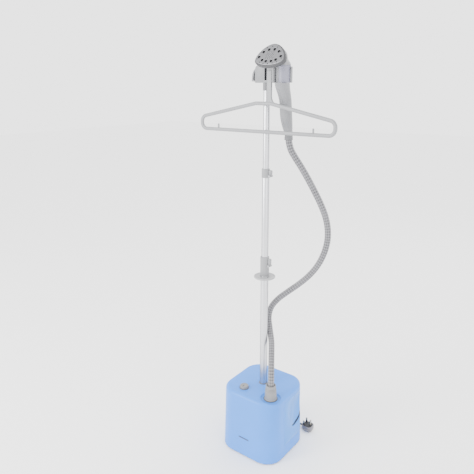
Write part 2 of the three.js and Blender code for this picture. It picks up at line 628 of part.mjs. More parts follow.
// The plate's outline is an egg, wide and low with its narrow end up.
const eggPoint = (angle, scale = 1, grow = 0) => {
  const [c, s] = [Math.cos(angle), Math.sin(angle)];
  const half = 46.5 * (1 - 0.07 * s) + grow / scale;
  const high = (s > 0 ? 43.5 : 20) + grow / scale;
  return [scale * half * c * (s > 0 ? 1 - 0.16 * s ** 2 : 1 - 0.02 * s), -8 + scale * high * s];
};
const RIM = 3.3;                 // how far the surround stands out past the plate
const EGG_SIDES = 36;
const eggRing = (scale, grow, out) => Array.from({ length: EGG_SIDES }, (_, i) => {
  const [s, t] = eggPoint((2 * Math.PI * (i + 0.5)) / EGG_SIDES, scale, grow);
  return onPlate(s, t, out);
});

// Steam holes, as [across, up] pairs on both sides of the plate's middle line.
const STEAM_HOLES = [[35.5, -2.6], [22.3, -12.4], [8.5, -16.1], [25, 12.2], [8.9, 18.9]];
const HOLE_R = 3.7;

function holeRod(s, t) {
  const geometry = new THREE.CylinderGeometry(HOLE_R, HOLE_R, 20, 12);
  const turn = new THREE.Quaternion().setFromUnitVectors(new THREE.Vector3(0, 1, 0), outward);
  geometry.applyQuaternion(turn);
  const place = onPlate(s, t, 0);
  geometry.translate(place.x, place.y, place.z);
  return solid(geometry);
}

const holes = STEAM_HOLES.flatMap(([s, t]) => [holeRod(s, t), holeRod(-s, t)]);
const plateForm = loft([eggRing(1, -0.4, -4), eggRing(1, -0.4, -1.6), eggRing(1, -3, 0)]);
add('steam_plate', cut(plateForm, ...holes), materials.steel);

const gasketForm = loft([
  eggRing(1, RIM, -12), eggRing(1, RIM, -6), eggRing(1, RIM - 1.2, -3.4), eggRing(1, 0.9, -2),
]);
const gasketHole = loft([eggRing(1, -6, -14), eggRing(1, -6, -4.3), eggRing(1, 0, -4.3), eggRing(1, 0, 1)]);
add('plate_gasket', cut(gasketForm, gasketHole), materials.dark);

// The head bends forward from the neck and widens to the plate.
const neckTop = new THREE.Vector3(CRADLE.x, CRADLE.y, 1291);
const headRing = (forward, height, lean, halfX, halfT, wall) => Array.from({ length: EGG_SIDES }, (_, i) => {
  const angle = (2 * Math.PI * (i + 0.5)) / EGG_SIDES;
  const up = new THREE.Vector3(0, Math.cos(lean), Math.sin(lean));
  return neckTop.clone()
    .add(new THREE.Vector3(0, -forward, height))
    .addScaledVector(across, (halfX - wall) * Math.cos(angle))
    .addScaledVector(up, (halfT - wall) * Math.sin(angle));
});

function headRings(wall) {
  const lean = (degrees) => THREE.MathUtils.degToRad(degrees);
  return [
    headRing(0, wall ? -1 : 0, 0, 20, 20, wall),
    headRing(2, 4, lean(12), 19, 19, wall),
    headRing(9, 9, lean(35), 18, 16.5, wall),
    headRing(26, 17, lean(54), 27, 18, wall),
    headRing(44, 21.5, lean(59), 37, 22.5, wall),
    eggRing(1, RIM - wall, wall ? -11 : -12.3),
  ];
}
add('head_shell', cut(loft(headRings(0)), loft(headRings(2.5))), materials.pale);

add('hose_connector', turned([
  [HOSE_R + 0.9, 1077], [12.6, 1077], [13.4, 1078.5], [12.2, 1091.7],
  [6, 1091.7], [6, 1087], [HOSE_R + 0.4, 1087],
], HANDSET_X, 35), materials.grey);

// ---------- hose ----------
const hosePoints = HOSE_ROUTE.map((p) => new THREE.Vector3(...p));
const hoseCurve = new THREE.CatmullRomCurve3(hosePoints, false, 'centripetal');
const hoseStops = [0, ...HOSE_CUTS, HOSE_ROUTE.length - 1].map((k) => k / (HOSE_ROUTE.length - 1));
['hose_lower', 'hose_middle', 'hose_upper'].forEach((name, k) => {
  const seam = 0.0004;
  const start = hoseStops[k] + (k > 0 ? seam : 0);
  const end = hoseStops[k + 1] - (k < 2 ? seam : 0);
  const points = Array.from({ length: 25 }, (_, i) => hoseCurve.getPoint(start + ((end - start) * i) / 24));
  add(name, sweep(points.map((p) => p.toArray()), HOSE_R, 12, 22), materials.hose);
});

// ---------- mains lead ----------
const reliefRings = [
  [106, 9.4], [109, 9.4], [109, 6.9], [118, 6.8], [146, 4.6],
].map(([y, r]) => Array.from({ length: 20 }, (_, i) => {
  const angle = (2 * Math.PI * i) / 20;
  return new THREE.Vector3(CORD_EXIT.x + r * Math.cos(angle), y, CORD_EXIT.z + r * Math.sin(angle));
}));
add('cord_strain_relief', loft(reliefRings), materials.pale);

add('power_cord_lead', sweep([
  [CORD_EXIT.x, 146.4, 18], [CORD_EXIT.x, 148.5, 17.95], [CORD_EXIT.x, 151.5, 17.4],
  [CORD_EXIT.x, 157, 15.6], [CORD_EXIT.x, 163, 12.6], [CORD_EXIT.x, 169.5, 9],
], CORD_R, 8, 6), materials.cord);

// Two layers of three turns, as one ring with a ridge for every turn.
function buildCoil() {
  const turns = [0, 1, 2, 3].map((k) => COIL.inner + (k * (COIL.outer - COIL.inner)) / 3);
  const top = turns.flatMap((r) => [[r - 2.6, 13.95], [r, 15], [r + 2.6, 13.95]]).reverse();
  const bottom = [[COIL.inner - 2.6, 0], [COIL.outer + 2.6, 0]];
  const [far, near] = [COIL.outer + CORD_R, COIL.inner - CORD_R];
  const outer = [[far, 3.75], [far - 0.8, 7.5], [far, 11.25]];
  const inner = [[near, 11.25], [near + 0.8, 7.5], [near, 3.75]];
  return turned([...bottom, ...outer, ...top, ...inner], COIL.x, COIL.y, 36);
}
add('power_cord_coil', buildCoil(), materials.cord);

add('power_cord_tail', sweep([
  [-38, 146.7, 3.9], [-15, 146.2, 3.9], [15, 145.4, 3.9], [40, 145, 4.4],
  [58, 145, 8], [70, 145, 10.4], [81.6, 145, 11],
], CORD_R, 8, 14), materials.cord);

// A strap over the coil, down to the floor on both sides.
function buildTie() {
  const [near, far] = [COIL.inner - CORD_R - 1.2, COIL.outer + CORD_R + GAP];
  const middle = COIL.x - (near + far) / 2;
  const half = (far - near) / 2;
  const outside = rounded([
    [middle - half - 1.6, 0.3, 0.3], [middle + half + 1.6, 0.3, 0.3],
    [middle + half + 1.6, 17, 3], [middle - half - 1.6, 17, 3],
  ]);
  const strap = slab(outside, COIL.y - 6, COIL.y + 6);
  return cut(strap, box(middle - half, middle + half, COIL.y - 9, COIL.y + 9, -1, 15.3));
}
add('cord_tie', buildTie(), materials.black);

// ---------- mains plug, lying on its back ----------
// The body is rounded all over, fullest a third of the way down from the pin face.
function buildPlug() {
  const levels = [
    [0, 0.72], [1.5, 0.83], [5, 0.93], [10, 0.99], [15, 1], [19, 0.98], [21.3, 0.95], [PLUG.height, 0.92],
  ];
  const rings = levels.map(([z, scale]) => Array.from({ length: 40 }, (_, i) => {
    const angle = (2 * Math.PI * i) / 40;
    const [c, s] = [Math.cos(angle), Math.sin(angle)];
    const reach = PLUG.half * scale;
    const squared = (v) => Math.sign(v) * Math.abs(v) ** (2 / 3);
    return new THREE.Vector3(PLUG.x + reach * squared(c), PLUG.y + reach * squared(s), z);
  }));
  const nose = rod('x', 6.4, [PLUG.nose, PLUG.y, 11], 10, 24);
  const pocket = (x, y, w, d) => box(x - w, x + w, y - d, y + d, 8, 30);
  return cut(
    union(loft(rings), nose),
    pocket(115, PLUG.y, 2.2, 4.2),
    pocket(93, PLUG.y - 11.1, 3.5, 2.3),
    pocket(93, PLUG.y + 11.1, 3.5, 2.3),
  );
}
add('plug_body', buildPlug(), materials.pale);
add('plug_pin_earth', box(113.05, 116.95, 141.05, 148.95, 8.3, 44.7), materials.brass);
add('plug_pin_live', box(89.85, 96.15, 131.95, 135.85, 8.3, 39.7), materials.brass);
add('plug_pin_neutral', box(89.85, 96.15, 154.15, 158.05, 8.3, 39.7), materials.brass);

export default group;
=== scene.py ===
"""The looks of the garment steamer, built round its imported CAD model.
Metres, +Z up, the front is -Y."""
import math
from math import cos, pi, radians, sin

import bmesh
import bpy
import numpy as np
from mathutils import Matrix, Vector


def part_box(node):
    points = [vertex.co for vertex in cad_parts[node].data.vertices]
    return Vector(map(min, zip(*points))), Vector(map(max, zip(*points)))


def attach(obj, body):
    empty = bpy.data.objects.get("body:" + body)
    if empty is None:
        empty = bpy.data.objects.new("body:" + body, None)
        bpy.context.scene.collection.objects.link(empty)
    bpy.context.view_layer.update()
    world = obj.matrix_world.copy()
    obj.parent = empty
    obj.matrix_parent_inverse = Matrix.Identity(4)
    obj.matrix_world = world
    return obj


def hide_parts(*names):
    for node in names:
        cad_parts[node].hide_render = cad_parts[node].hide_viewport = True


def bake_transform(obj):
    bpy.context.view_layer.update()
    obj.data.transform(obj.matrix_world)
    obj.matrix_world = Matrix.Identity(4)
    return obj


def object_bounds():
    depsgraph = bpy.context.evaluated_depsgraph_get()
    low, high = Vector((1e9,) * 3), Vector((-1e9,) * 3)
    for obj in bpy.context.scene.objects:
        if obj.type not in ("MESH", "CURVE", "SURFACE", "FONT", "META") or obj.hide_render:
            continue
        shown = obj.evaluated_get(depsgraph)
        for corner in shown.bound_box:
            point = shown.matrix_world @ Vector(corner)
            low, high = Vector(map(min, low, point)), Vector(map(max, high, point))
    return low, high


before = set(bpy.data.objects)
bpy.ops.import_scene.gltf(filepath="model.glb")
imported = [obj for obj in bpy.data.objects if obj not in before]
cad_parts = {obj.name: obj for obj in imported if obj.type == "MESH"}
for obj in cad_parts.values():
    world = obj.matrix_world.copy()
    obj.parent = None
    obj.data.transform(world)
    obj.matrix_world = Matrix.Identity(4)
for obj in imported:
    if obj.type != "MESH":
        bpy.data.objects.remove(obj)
cad_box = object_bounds()

MM = 0.001


def mm(*values):
    """A point given in millimetres."""
    return Vector(values) * MM


# ---------- camera, light and floor ----------
CAMERA_PLACE = (0.8871, -1.3102, 1.2414)
CAMERA_YAW = radians(37.37)
CAMERA_PITCH = radians(16.67)
CAMERA_ROLL = radians(-0.24)
FOCAL_LENGTH = 38.93
SENSOR_WIDTH = 36
WORLD_STRENGTH = 3.0
FLOOR_HALF = 12
FLOOR_GAP = 0.0002  # keeps the floor just clear of the feet


def add_camera():
    data = bpy.data.cameras.new("camera")
    data.lens = FOCAL_LENGTH
    data.sensor_width = SENSOR_WIDTH
    data.clip_start = 0.05
    camera = bpy.data.objects.new("camera", data)
    bpy.context.collection.objects.link(camera)
    turn = Matrix.Rotation(CAMERA_YAW, 4, "Z")
    turn = turn @ Matrix.Rotation(pi / 2 - CAMERA_PITCH, 4, "X")
    turn = turn @ Matrix.Rotation(CAMERA_ROLL, 4, "Z")
    camera.matrix_world = Matrix.Translation(CAMERA_PLACE) @ turn
    bpy.context.scene.camera = camera


def area_light(name, place, target, size, power):
    data = bpy.data.lights.new(name, "AREA")
    data.shape = "DISK"
    data.size = size
    data.energy = power
    light = bpy.data.objects.new(name, data)
    bpy.context.collection.objects.link(light)
    direction = Vector(target) - Vector(place)
    turn = direction.to_track_quat("-Z", "Y").to_matrix().to_4x4()
    light.matrix_world = Matrix.Translation(place) @ turn


def add_studio():
    world = bpy.data.worlds.new("studio")
    bpy.context.scene.world = world
    world.use_nodes = True
    background = world.node_tree.nodes["Background"]
    background.inputs["Color"].default_value = (1.0, 1.0, 1.0, 1)
    background.inputs["Strength"].default_value = WORLD_STRENGTH
    area_light("key", (-1.5, -2.8, 1.5), (0, 0, 0.6), size=1.4, power=107)
    area_light("fill", (2.8, -1.2, 1.2), (0, 0, 0.6), size=2.0, power=20)
    area_light("back", (0.4, 2.6, 2.4), (0, 0, 0.8), size=1.8, power=20)


def add_floor(material):
    mesh = bpy.data.meshes.new("floor")
    corners = [(x * FLOOR_HALF, y * FLOOR_HALF, 0) for x, y in ((-1, -1), (1, -1), (1, 1), (-1, 1))]
    mesh.from_pydata(corners, [], [(0, 1, 2, 3)])
    floor = bpy.data.objects.new("floor", mesh)
    bpy.context.collection.objects.link(floor)
    mesh.materials.append(material)
    floor.location.z = cad_box[0][2] - FLOOR_GAP


# ---------- materials ----------
def start_material(name):
    material = bpy.data.materials.new(name)
    material.use_nodes = True
    tree = material.node_tree
    return material, tree, tree.nodes["Principled BSDF"]


def node(tree, kind, inputs=None, **settings):
    """A new node with its settings, and its inputs given as values or as other nodes' outputs."""
    made = tree.nodes.new(kind)
    for key, value in settings.items():
        setattr(made, key, value)
    for key, value in (inputs or {}).items():
        if isinstance(value, bpy.types.NodeSocket):
            tree.links.new(value, made.inputs[key])
        else:
            made.inputs[key].default_value = value
    return made


def blend_colours(tree, factor, first, second):
    mix = node(tree, "ShaderNodeMix", data_type="RGBA")
    tree.links.new(factor, mix.inputs[0])
    for index, colour in ((6, first), (7, second)):
        if isinstance(colour, bpy.types.NodeSocket):
            tree.links.new(colour, mix.inputs[index])
        else:
            mix.inputs[index].default_value = (*colour, 1)
    return mix.outputs[2]


def scaled(colour, factor):
    return tuple(min(1, c * factor) for c in colour)


def noise(tree, scale, detail=2, stretch=(1, 1, 1)):
    coordinates = node(tree, "ShaderNodeTexCoord").outputs["Object"]
    mapping = node(tree, "ShaderNodeMapping", {"Vector": coordinates, "Scale": stretch})
    made = node(tree, "ShaderNodeTexNoise", {
        "Vector": mapping.outputs["Vector"], "Scale": scale, "Detail": detail,
    })
    return made.outputs["Fac"]


def remap(tree, value, low, high, source=(0.3, 0.7)):
    """The value spread from its source range to low and high."""
    made = node(tree, "ShaderNodeMapRange", {
        "Value": value, "From Min": source[0], "From Max": source[1], "To Min": low, "To Max": high,
    })
    return made.outputs["Result"]


def maths(tree, operation, *values):
    """The result of a maths node, from numbers or other nodes' outputs."""
    return node(tree, "ShaderNodeMath", dict(enumerate(values)), operation=operation).outputs[0]


def add_bump(tree, shader, height, strength, distance):
    made = node(tree, "ShaderNodeBump", {
        "Strength": strength, "Distance": distance, "Height": height,
    })
    tree.links.new(made.outputs["Normal"], shader.inputs["Normal"])


EDGE_HIGHLIGHT = 0.35  # how much of the lighter colour shows on a sharp edge, a painted highlight
SHADE_VARIATION = 0.05


def painted_edge_highlight(tree, colour, highlight_colour):
    """The colour, a little lighter in patches on sharp edges: a painted highlight."""
    pointiness = node(tree, "ShaderNodeNewGeometry").outputs["Pointiness"]
    patchy = remap(tree, noise(tree, 60, 4), 0, EDGE_HIGHLIGHT)
    edge = remap(tree, pointiness, 0, 1, (0.53, 0.62))
    return blend_colours(tree, maths(tree, "MULTIPLY", edge, patchy), colour, highlight_colour)


def plastic(name, colour, roughness, grain=0.12, coat=0.0, specular=0.5):
    """Moulded plastic: a fine grain, slight changes of shade and gloss, and a painted highlight in
    patches on sharp edges.
    """
    material, tree, shader = start_material(name)
    shade = remap(tree, noise(tree, 7, 3), 0, 1)
    darker, lighter = scaled(colour, 1 - SHADE_VARIATION), scaled(colour, 1 + SHADE_VARIATION)
    body = blend_colours(tree, shade, darker, lighter)
    # sharp edges are painted a little lighter in patches, as a highlight
    tree.links.new(painted_edge_highlight(tree, body, scaled(colour, 1.25)), shader.inputs["Base Color"])
    gloss = remap(tree, noise(tree, 45, 5), roughness - 0.06, roughness + 0.08)
    tree.links.new(gloss, shader.inputs["Roughness"])
    add_bump(tree, shader, noise(tree, 1400, 2), grain, 0.3 * MM)
    shader.inputs["Specular IOR Level"].default_value = specular
    shader.inputs["Coat Weight"].default_value = coat
    shader.inputs["Coat Roughness"].default_value = 0.2
    return material


def metal(name, colour, roughness, stretch=(1, 1, 0.02), streaks=0.08, scale=900, edge=1.0):
    """Drawn or brushed metal. The streaks run along the axis with the least stretch, and edge
    tints the reflection at a grazing angle."""
    material, tree, shader = start_material(name)
    fine = noise(tree, scale, 3, stretch)
    smudge = noise(tree, 14, 4)
    tone = blend_colours(tree, remap(tree, fine, 0, 1), scaled(colour, 0.9), scaled(colour, 1.05))
    tree.links.new(tone, shader.inputs["Base Color"])
    gloss = remap(tree, smudge, roughness - 0.05, roughness + 0.08)
    tree.links.new(gloss, shader.inputs["Roughness"])
    add_bump(tree, shader, fine, streaks, 0.2 * MM)
    shader.inputs["Metallic"].default_value = 1
    shader.inputs["Specular Tint"].default_value = (edge, edge, edge, 1)
    return material


BRAID_STRANDS = 5  # strands round the hose, in each direction
BRAID_PITCH = 55  # strands per metre along the hose


def braid(name, light, dark):
    """Woven sleeving: two sets of strands that cross at a slant, over and under each other."""
    material, tree, shader = start_material(name)
    surface = node(tree, "ShaderNodeTexCoord").outputs["UV"]
    place = node(tree, "ShaderNodeSeparateXYZ", {"Vector": surface})

    def strand(sign):
        around = maths(tree, "MULTIPLY", place.outputs[0], 2 * pi * BRAID_STRANDS)
        along = maths(tree, "MULTIPLY", place.outputs[1], sign * 2 * pi * BRAID_PITCH)
        return maths(tree, "SINE", maths(tree, "ADD", around, along))

    weave = maths(tree, "MULTIPLY", strand(1), strand(-1))
    fibre = noise(tree, 2600, 3)
    tone = remap(tree, weave, 0, 1, (-0.7, 0.7))
    cloth = blend_colours(tree, tone, dark, light)
    dust = remap(tree, noise(tree, 22, 4), 0, 0.5)
    dusty = blend_colours(tree, dust, cloth, scaled(light, 0.82))
    tree.links.new(dusty, shader.inputs["Base Color"])
    add_bump(tree, shader, maths(tree, "MULTIPLY_ADD", weave, 0.7, fibre), 0.5, 0.6 * MM)
    shader.inputs["Roughness"].default_value = 0.72
    shader.inputs["Sheen Weight"].default_value = 0.25
    return material


BLUE = (0.043, 0.222, 0.72)
TANK_BLUE = (0.046, 0.232, 0.69)
PALE = (0.222, 0.225, 0.235)
LILAC = (0.195, 0.196, 0.252)
GREY = (0.13, 0.132, 0.14)

looks = {
    "blue": plastic("moulded_blue", BLUE, 0.42, coat=0.04, specular=0.25),
    "tank": plastic("tank_blue", TANK_BLUE, 0.36, grain=0.06, coat=0.08, specular=0.25),
    # a darker copy of the base's blue: painted shade for the dish round the cuff
    "dish_shade": plastic("dish_shade_blue", (0.042, 0.188, 0.59), 0.5, specular=0.2),
    "pale": plastic("moulded_pale_grey", PALE, 0.42),
    "bright": plastic("moulded_light_grey", (0.32, 0.323, 0.332), 0.42),
    "shade": plastic("moulded_shaded_grey", (0.178, 0.181, 0.19), 0.42),
    "lilac": plastic("moulded_lilac_grey", LILAC, 0.4),
    "grey": plastic("moulded_grey", GREY, 0.45),
    "dark": plastic("moulded_charcoal", (0.05, 0.052, 0.058), 0.5),
    "black": plastic("black_rubber", (0.018, 0.018, 0.02), 0.7, grain=0.3),
    "board": plastic("circuit_board_green", (0.02, 0.12, 0.05), 0.35),
    "handle": plastic("moulded_handle_grey", (0.185, 0.187, 0.198), 0.4, coat=0.1),
    # a dark grey surround, darkened further to paint the shade on its side faces
    "rim": plastic("surround_shade_grey", (0.04, 0.04, 0.044), 0.45),
    "cord": plastic("lead_sheath", (0.05, 0.05, 0.055), 0.45, grain=0.2),
    "plug": plastic("plug_moulding", (0.125, 0.12, 0.14), 0.28, grain=0.05, coat=0.4),
    "tube": metal("drawn_aluminium", (0.60, 0.605, 0.63), 0.32, edge=0.0),
    "plate": metal("satin_steel", (0.20, 0.20, 0.21), 0.42, (0.05, 1, 1), 0.12, 1200),
    "steel": metal("brushed_steel", (0.55, 0.55, 0.57), 0.34, (0.03, 1, 1)),
    "casting": metal("cast_aluminium", (0.62, 0.62, 0.63), 0.5, (1, 1, 1), 0.3, 500),
    "brass": metal("nickel_plated_brass", (0.30, 0.29, 0.26), 0.3, (1, 1, 0.1)),
    "hose": braid("woven_sleeving", (0.222, 0.22, 0.235), (0.02, 0.02, 0.026)),
}

add_camera()
add_studio()
floor_material, _, floor_shader = start_material("studio_floor")
floor_shader.inputs["Base Color"].default_value = (0.95, 0.95, 0.95, 1)
floor_shader.inputs["Roughness"].default_value = 0.9
add_floor(floor_material)


# ---------- building pieces ----------
def piece(name, mesh, body, look, replaced=(), sharp=35):
    """A named piece that rides on a body and may stand for CAD nodes. Without a body it is left
    unattached."""
    made = bpy.data.objects.new(name, mesh)
    bpy.context.collection.objects.link(made)
    mesh.materials.clear()
    mesh.materials.append(looks[look])
    mesh.polygons.foreach_set("use_smooth", [True] * len(mesh.polygons))
    if sharp:
        mesh.set_sharp_from_angle(angle=radians(sharp))
    if body:
        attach(made, body)
    if replaced:
        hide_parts(*replaced)
    return made


def edited(mesh, edit):
    """The mesh after a function has worked on it as a bmesh."""
    work = bmesh.new()
    work.from_mesh(mesh)
    edit(work)
    work.to_mesh(mesh)
    work.free()
    return mesh


def face_outwards(work):
    bmesh.ops.recalc_face_normals(work, faces=work.faces)


def mesh_from(vertices, faces):
    mesh = bpy.data.meshes.new("mesh")
    mesh.from_pydata([tuple(v) for v in vertices], [], faces)
    return edited(mesh, face_outwards)


def skin_faces(rings, sides, closed=False):
    """The quads between one ring and the next. Closed joins the last ring to the first."""
    faces = []
    for k in range(rings if closed else rings - 1):
        q = (k + 1) % rings
        for i in range(sides):
            j = (i + 1) % sides
            faces.append((k * sides + i, k * sides + j, q * sides + j, q * sides + i))
    return faces


def loft(rings):
    """A skin through rings of equal length, with a fan of triangles over each end."""
    n = len(rings[0])
    vertices = [v for ring in rings for v in ring]
    faces = skin_faces(len(rings), n)
    for k in (0, len(rings) - 1):
        vertices.append(sum(rings[k], Vector()) / n)
        hub = len(vertices) - 1
        faces += [(k * n + i, k * n + (i + 1) % n, hub) for i in range(n)]
    return mesh_from(vertices, faces)


def turned(profile, centre=(0, 0), sides=64):
    """A turned piece about an upright axis, from a closed loop of (radius, height) in mm."""
    cx, cy = centre
    angles = [2 * pi * i / sides for i in range(sides)]
    vertices = []
    for r, z in profile:
        vertices += [mm(cx + r * cos(a), cy + r * sin(a), z) for a in angles]

    def weld_axis(work):
        bmesh.ops.remove_doubles(work, verts=work.verts, dist=1e-6)
        bmesh.ops.dissolve_degenerate(work, dist=1e-7, edges=work.edges)
        face_outwards(work)

    return edited(mesh_from(vertices, skin_faces(len(profile), sides, closed=True)), weld_axis)


def softened(profile, radius, steps=3):
    """The closed profile with each corner off the axis rounded."""
    result = []
    count = len(profile)
    for i, point in enumerate(profile):
        here = Vector(point)
        before, after = Vector(profile[i - 1]), Vector(profile[(i + 1) % count])
        if here.x < 1e-6:
            result.append(tuple(here))
            continue
        reach = min(radius, (before - here).length * 0.45, (after - here).length * 0.45)
        start = here + (before - here).normalized() * reach
        end = here + (after - here).normalized() * reach
        for k in range(steps + 1):
            t = k / steps
            p = start * (1 - t) ** 2 + here * 2 * t * (1 - t) + end * t * t
            result.append((p.x, p.y))
    return result


def evaluated(mesh, kind, **settings):
    """The mesh after one modifier."""
    holder = bpy.data.objects.new("work", mesh)
    bpy.context.collection.objects.link(holder)
    modifier = holder.modifiers.new(kind, kind)
    for key, value in settings.items():
        setattr(modifier, key, value)
    bpy.context.view_layer.update()
    depsgraph = bpy.context.evaluated_depsgraph_get()
    result = bpy.data.meshes.new_from_object(holder.evaluated_get(depsgraph))
    bpy.data.objects.remove(holder)
    return result


def combined(mesh, tools, how="DIFFERENCE"):
    """The mesh with the tools' meshes cut away, added or kept in common."""
    for tool in tools:
        cutter = bpy.data.objects.new("cutter", tool)
        bpy.context.collection.objects.link(cutter)
        mesh = evaluated(mesh, "BOOLEAN", operation=how, object=cutter, solver="EXACT")
        bpy.data.objects.remove(cutter)
    return mesh


def bevelled(mesh, width, segments=3, angle=30):
    """The mesh with each edge sharper than the angle rounded."""
    return evaluated(mesh, "BEVEL", width=width * MM, segments=segments, limit_method="ANGLE",
                     angle_limit=radians(angle))


def refined(source, body, look, bevel, segments=2):
    """A CAD node's shape with its edges rounded, in place of the node."""
    def join_flats(work):
        bmesh.ops.remove_doubles(work, verts=work.verts, dist=2e-6)
        flat = radians(1.5)
        bmesh.ops.dissolve_limit(work, angle_limit=flat, verts=work.verts, edges=work.edges)

    mesh = edited(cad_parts[source].data.copy(), join_flats)
    rounded = bevelled(mesh, bevel, segments, 32)
    return piece(source + "_moulded", rounded, body, look, [source])


def box_mesh(low, high):
    x0, y0, z0 = low
    x1, y1, z1 = high
    corners = [(x, y, z) for z in (z0, z1) for x, y in ((x0, y0), (x1, y0), (x1, y1), (x0, y1))]
    faces = [(3, 2, 1, 0), (4, 5, 6, 7), (0, 1, 5, 4), (1, 2, 6, 5), (2, 3, 7, 6), (3, 0, 4, 7)]
    return mesh_from([Vector(c) * MM for c in corners], faces)


def catmull_rom(points, per_span):
    """A centripetal curve through the points, with per_span steps in each span."""
    pts = [Vector(p) for p in points]
    pts = [pts[0] * 2 - pts[1]] + pts + [pts[-1] * 2 - pts[-2]]
    line = []
    for i in range(1, len(pts) - 2):
        p0, p1, p2, p3 = pts[i - 1:i + 3]
        t1 = (p1 - p0).length ** 0.5
        t2 = t1 + (p2 - p1).length ** 0.5
        t3 = t2 + (p3 - p2).length ** 0.5
        for k in range(per_span):
            t = t1 + (t2 - t1) * k / per_span
            a1 = p0 * ((t1 - t) / t1) + p1 * (t / t1)
            a2 = p1 * ((t2 - t) / (t2 - t1)) + p2 * ((t - t1) / (t2 - t1))
            a3 = p2 * ((t3 - t) / (t3 - t2)) + p3 * ((t - t2) / (t3 - t2))
            b1 = a1 * ((t2 - t) / t2) + a2 * (t / t2)
            b2 = a2 * ((t3 - t) / (t3 - t1)) + a3 * ((t - t1) / (t3 - t1))
            line.append(b1 * ((t2 - t) / (t2 - t1)) + b2 * ((t - t1) / (t2 - t1)))
    line.append(pts[-2])
    return line


def resample(line, spacing):
    """The line with points at an even spacing, and its length."""
    distance = [0.0]
    for a, b in zip(line, line[1:]):
        distance.append(distance[-1] + (b - a).length)
    total = distance[-1]
    count = max(2, round(total / spacing))
    targets = np.linspace(0, total, count + 1)
    axes = [np.interp(targets, distance, [p[k] for p in line]) for k in range(3)]
    return [Vector(p) for p in zip(*axes)], total


def tube_mesh(line, radius, sides, start_length=0.0, relief=None):
    """A tube along the line, with UVs: once round in u, and the length in metres in v.
    relief(u, v) is how far the surface stands out there."""
    tangents = []
    for i in range(len(line)):
        a, b = line[max(i - 1, 0)], line[min(i + 1, len(line) - 1)]
        tangents.append((b - a).normalized())
    side = tangents[0].orthogonal().normalized()
    vertices, lengths = [], []
    length = start_length
    for i, centre in enumerate(line):
        if i:
            turn = tangents[i - 1].rotation_difference(tangents[i])
            side = (turn @ side).normalized()
            length += (centre - line[i - 1]).length
        other = tangents[i].cross(side)
        lengths.append(length)
        for k in range(sides):
            angle = 2 * pi * k / sides
            r = radius + (relief(k / sides, length) if relief else 0)
            vertices.append(centre + (side * cos(angle) + other * sin(angle)) * r)
    faces = skin_faces(len(line), sides)
    faces.append(tuple(reversed(range(sides))))
    faces.append(tuple(range((len(line) - 1) * sides, len(line) * sides)))
    mesh = bpy.data.meshes.new("tube")
    mesh.from_pydata([tuple(v) for v in vertices], [], faces)
    layer = mesh.uv_layers.new(name="UVMap")
    for polygon in mesh.polygons:
        on_side = polygon.loop_total == 4
        columns = [mesh.loops[n].vertex_index % sides for n in polygon.loop_indices]
        wraps = on_side and max(columns) == sides - 1 and min(columns) == 0
        for n, column in zip(polygon.loop_indices, columns):
            row = mesh.loops[n].vertex_index // sides
            u = 1.0 if wraps and column == 0 else column / sides
            layer.data[n].uv = (u, lengths[row])
    return mesh, length


# ---------- the hose ----------
HOSE_ROUTE = [
    (73, -63, 264), (73, -62, 302), (65, -50, 337), (48, -24, 369), (26, 8, 400),
    (5, 28, 437), (-3, 33, 474), (4, 38, 511), (24, 49, 542), (52, 64, 570),
    (83, 80, 599), (113, 94, 632), (138, 104, 670), (156, 110, 714), (165, 112, 758),
    (166, 108, 798), (160, 102, 836), (148, 92, 875), (133, 81, 912), (114, 68, 954),
    (94, 56, 993), (77, 46, 1023), (66, 39, 1045), (60, 36, 1066), (58, 35, 1086),
]
HOSE_CUTS = (11, 16)  # the points where one stretch of the hose hands over to the next
HOSE_RADIUS = 10 * MM
STRAND_RELIEF = 0.5 * MM


def braid_relief(u, v):
    """How far a strand of the sleeving stands out at u round the hose and v metres along it."""
    first = sin(2 * pi * (BRAID_STRANDS * u + BRAID_PITCH * v))
    second = sin(2 * pi * (BRAID_STRANDS * u - BRAID_PITCH * v))
    return STRAND_RELIEF * first * second


def add_hose():
    """The hose in three braided stretches, each in place of one of the CAD's hose nodes."""
    steps = 12
    whole = catmull_rom([mm(*p) for p in HOSE_ROUTE], steps)
    cuts = [0, HOSE_CUTS[0] * steps, HOSE_CUTS[1] * steps, len(whole) - 1]
    stretches = [
        ("hose_lower", "base", "mid_section", 295, 619),
        ("hose_middle", "mid_section", "upper_section", 643, 824),
        ("hose_upper", "upper_section", "handset", 848, 1062),
    ]
    begun = 0.0
    for k, (name, first, second, low, high) in enumerate(stretches):
        line, total = resample(whole[cuts[k]:cuts[k + 1] + 1], 1.3 * MM)
        mesh, begun = tube_mesh(line, HOSE_RADIUS, 96, begun, braid_relief)
        hose = piece(name + "_braided", mesh, None, "hose", [name], sharp=None)
        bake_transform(hose)


add_hose()


# ---------- the mains lead ----------
COIL_CENTRE = (-70.25, 202)
COIL_INNER, COIL_OUTER = 32.75, 55.25
COIL_LOWER = 3.8  # height of the lower layer's centre line
LAYER_RISE = 7.5
LOWER_TURNS, UPPER_TURNS = 3, 2.5
CLIMB_TURNS = 0.25
CORD_RADIUS = 3.75 * MM
STEPS_PER_TURN = 40
LEAD_ROUTE = [
    (-15, 146, 18), (-15, 149, 17.9), (-15, 153, 17.2), (-15, 158, 15.5), (-15, 164, 12.6),
    (-15, 170, 9.3), (-15, 176, 6.4), (-15, 182, 4.5), (-15, 188, 3.85), (-15, 195, 3.8),
]
TAIL_ROUTE = [
    (-63, 146.75, 10.7), (-56, 146.75, 8.6), (-50, 146.75, 6.4), (-43, 146.75, 4.4),
    (-36, 146.7, 3.9), (-15, 146.2, 3.9), (10, 145.6, 3.9), (30, 145.1, 3.9), (42, 145, 4.5),
    (50, 145, 5.8), (58, 145, 8), (66, 145, 10), (72, 145, 10.8), (77, 145, 11), (82, 145, 11),
]


def coil_point(turn, radius, height):
    angle = 2 * pi * turn
    x = COIL_CENTRE[0] + radius * cos(angle)
    y = COIL_CENTRE[1] + radius * sin(angle)
    return mm(x, y, height)


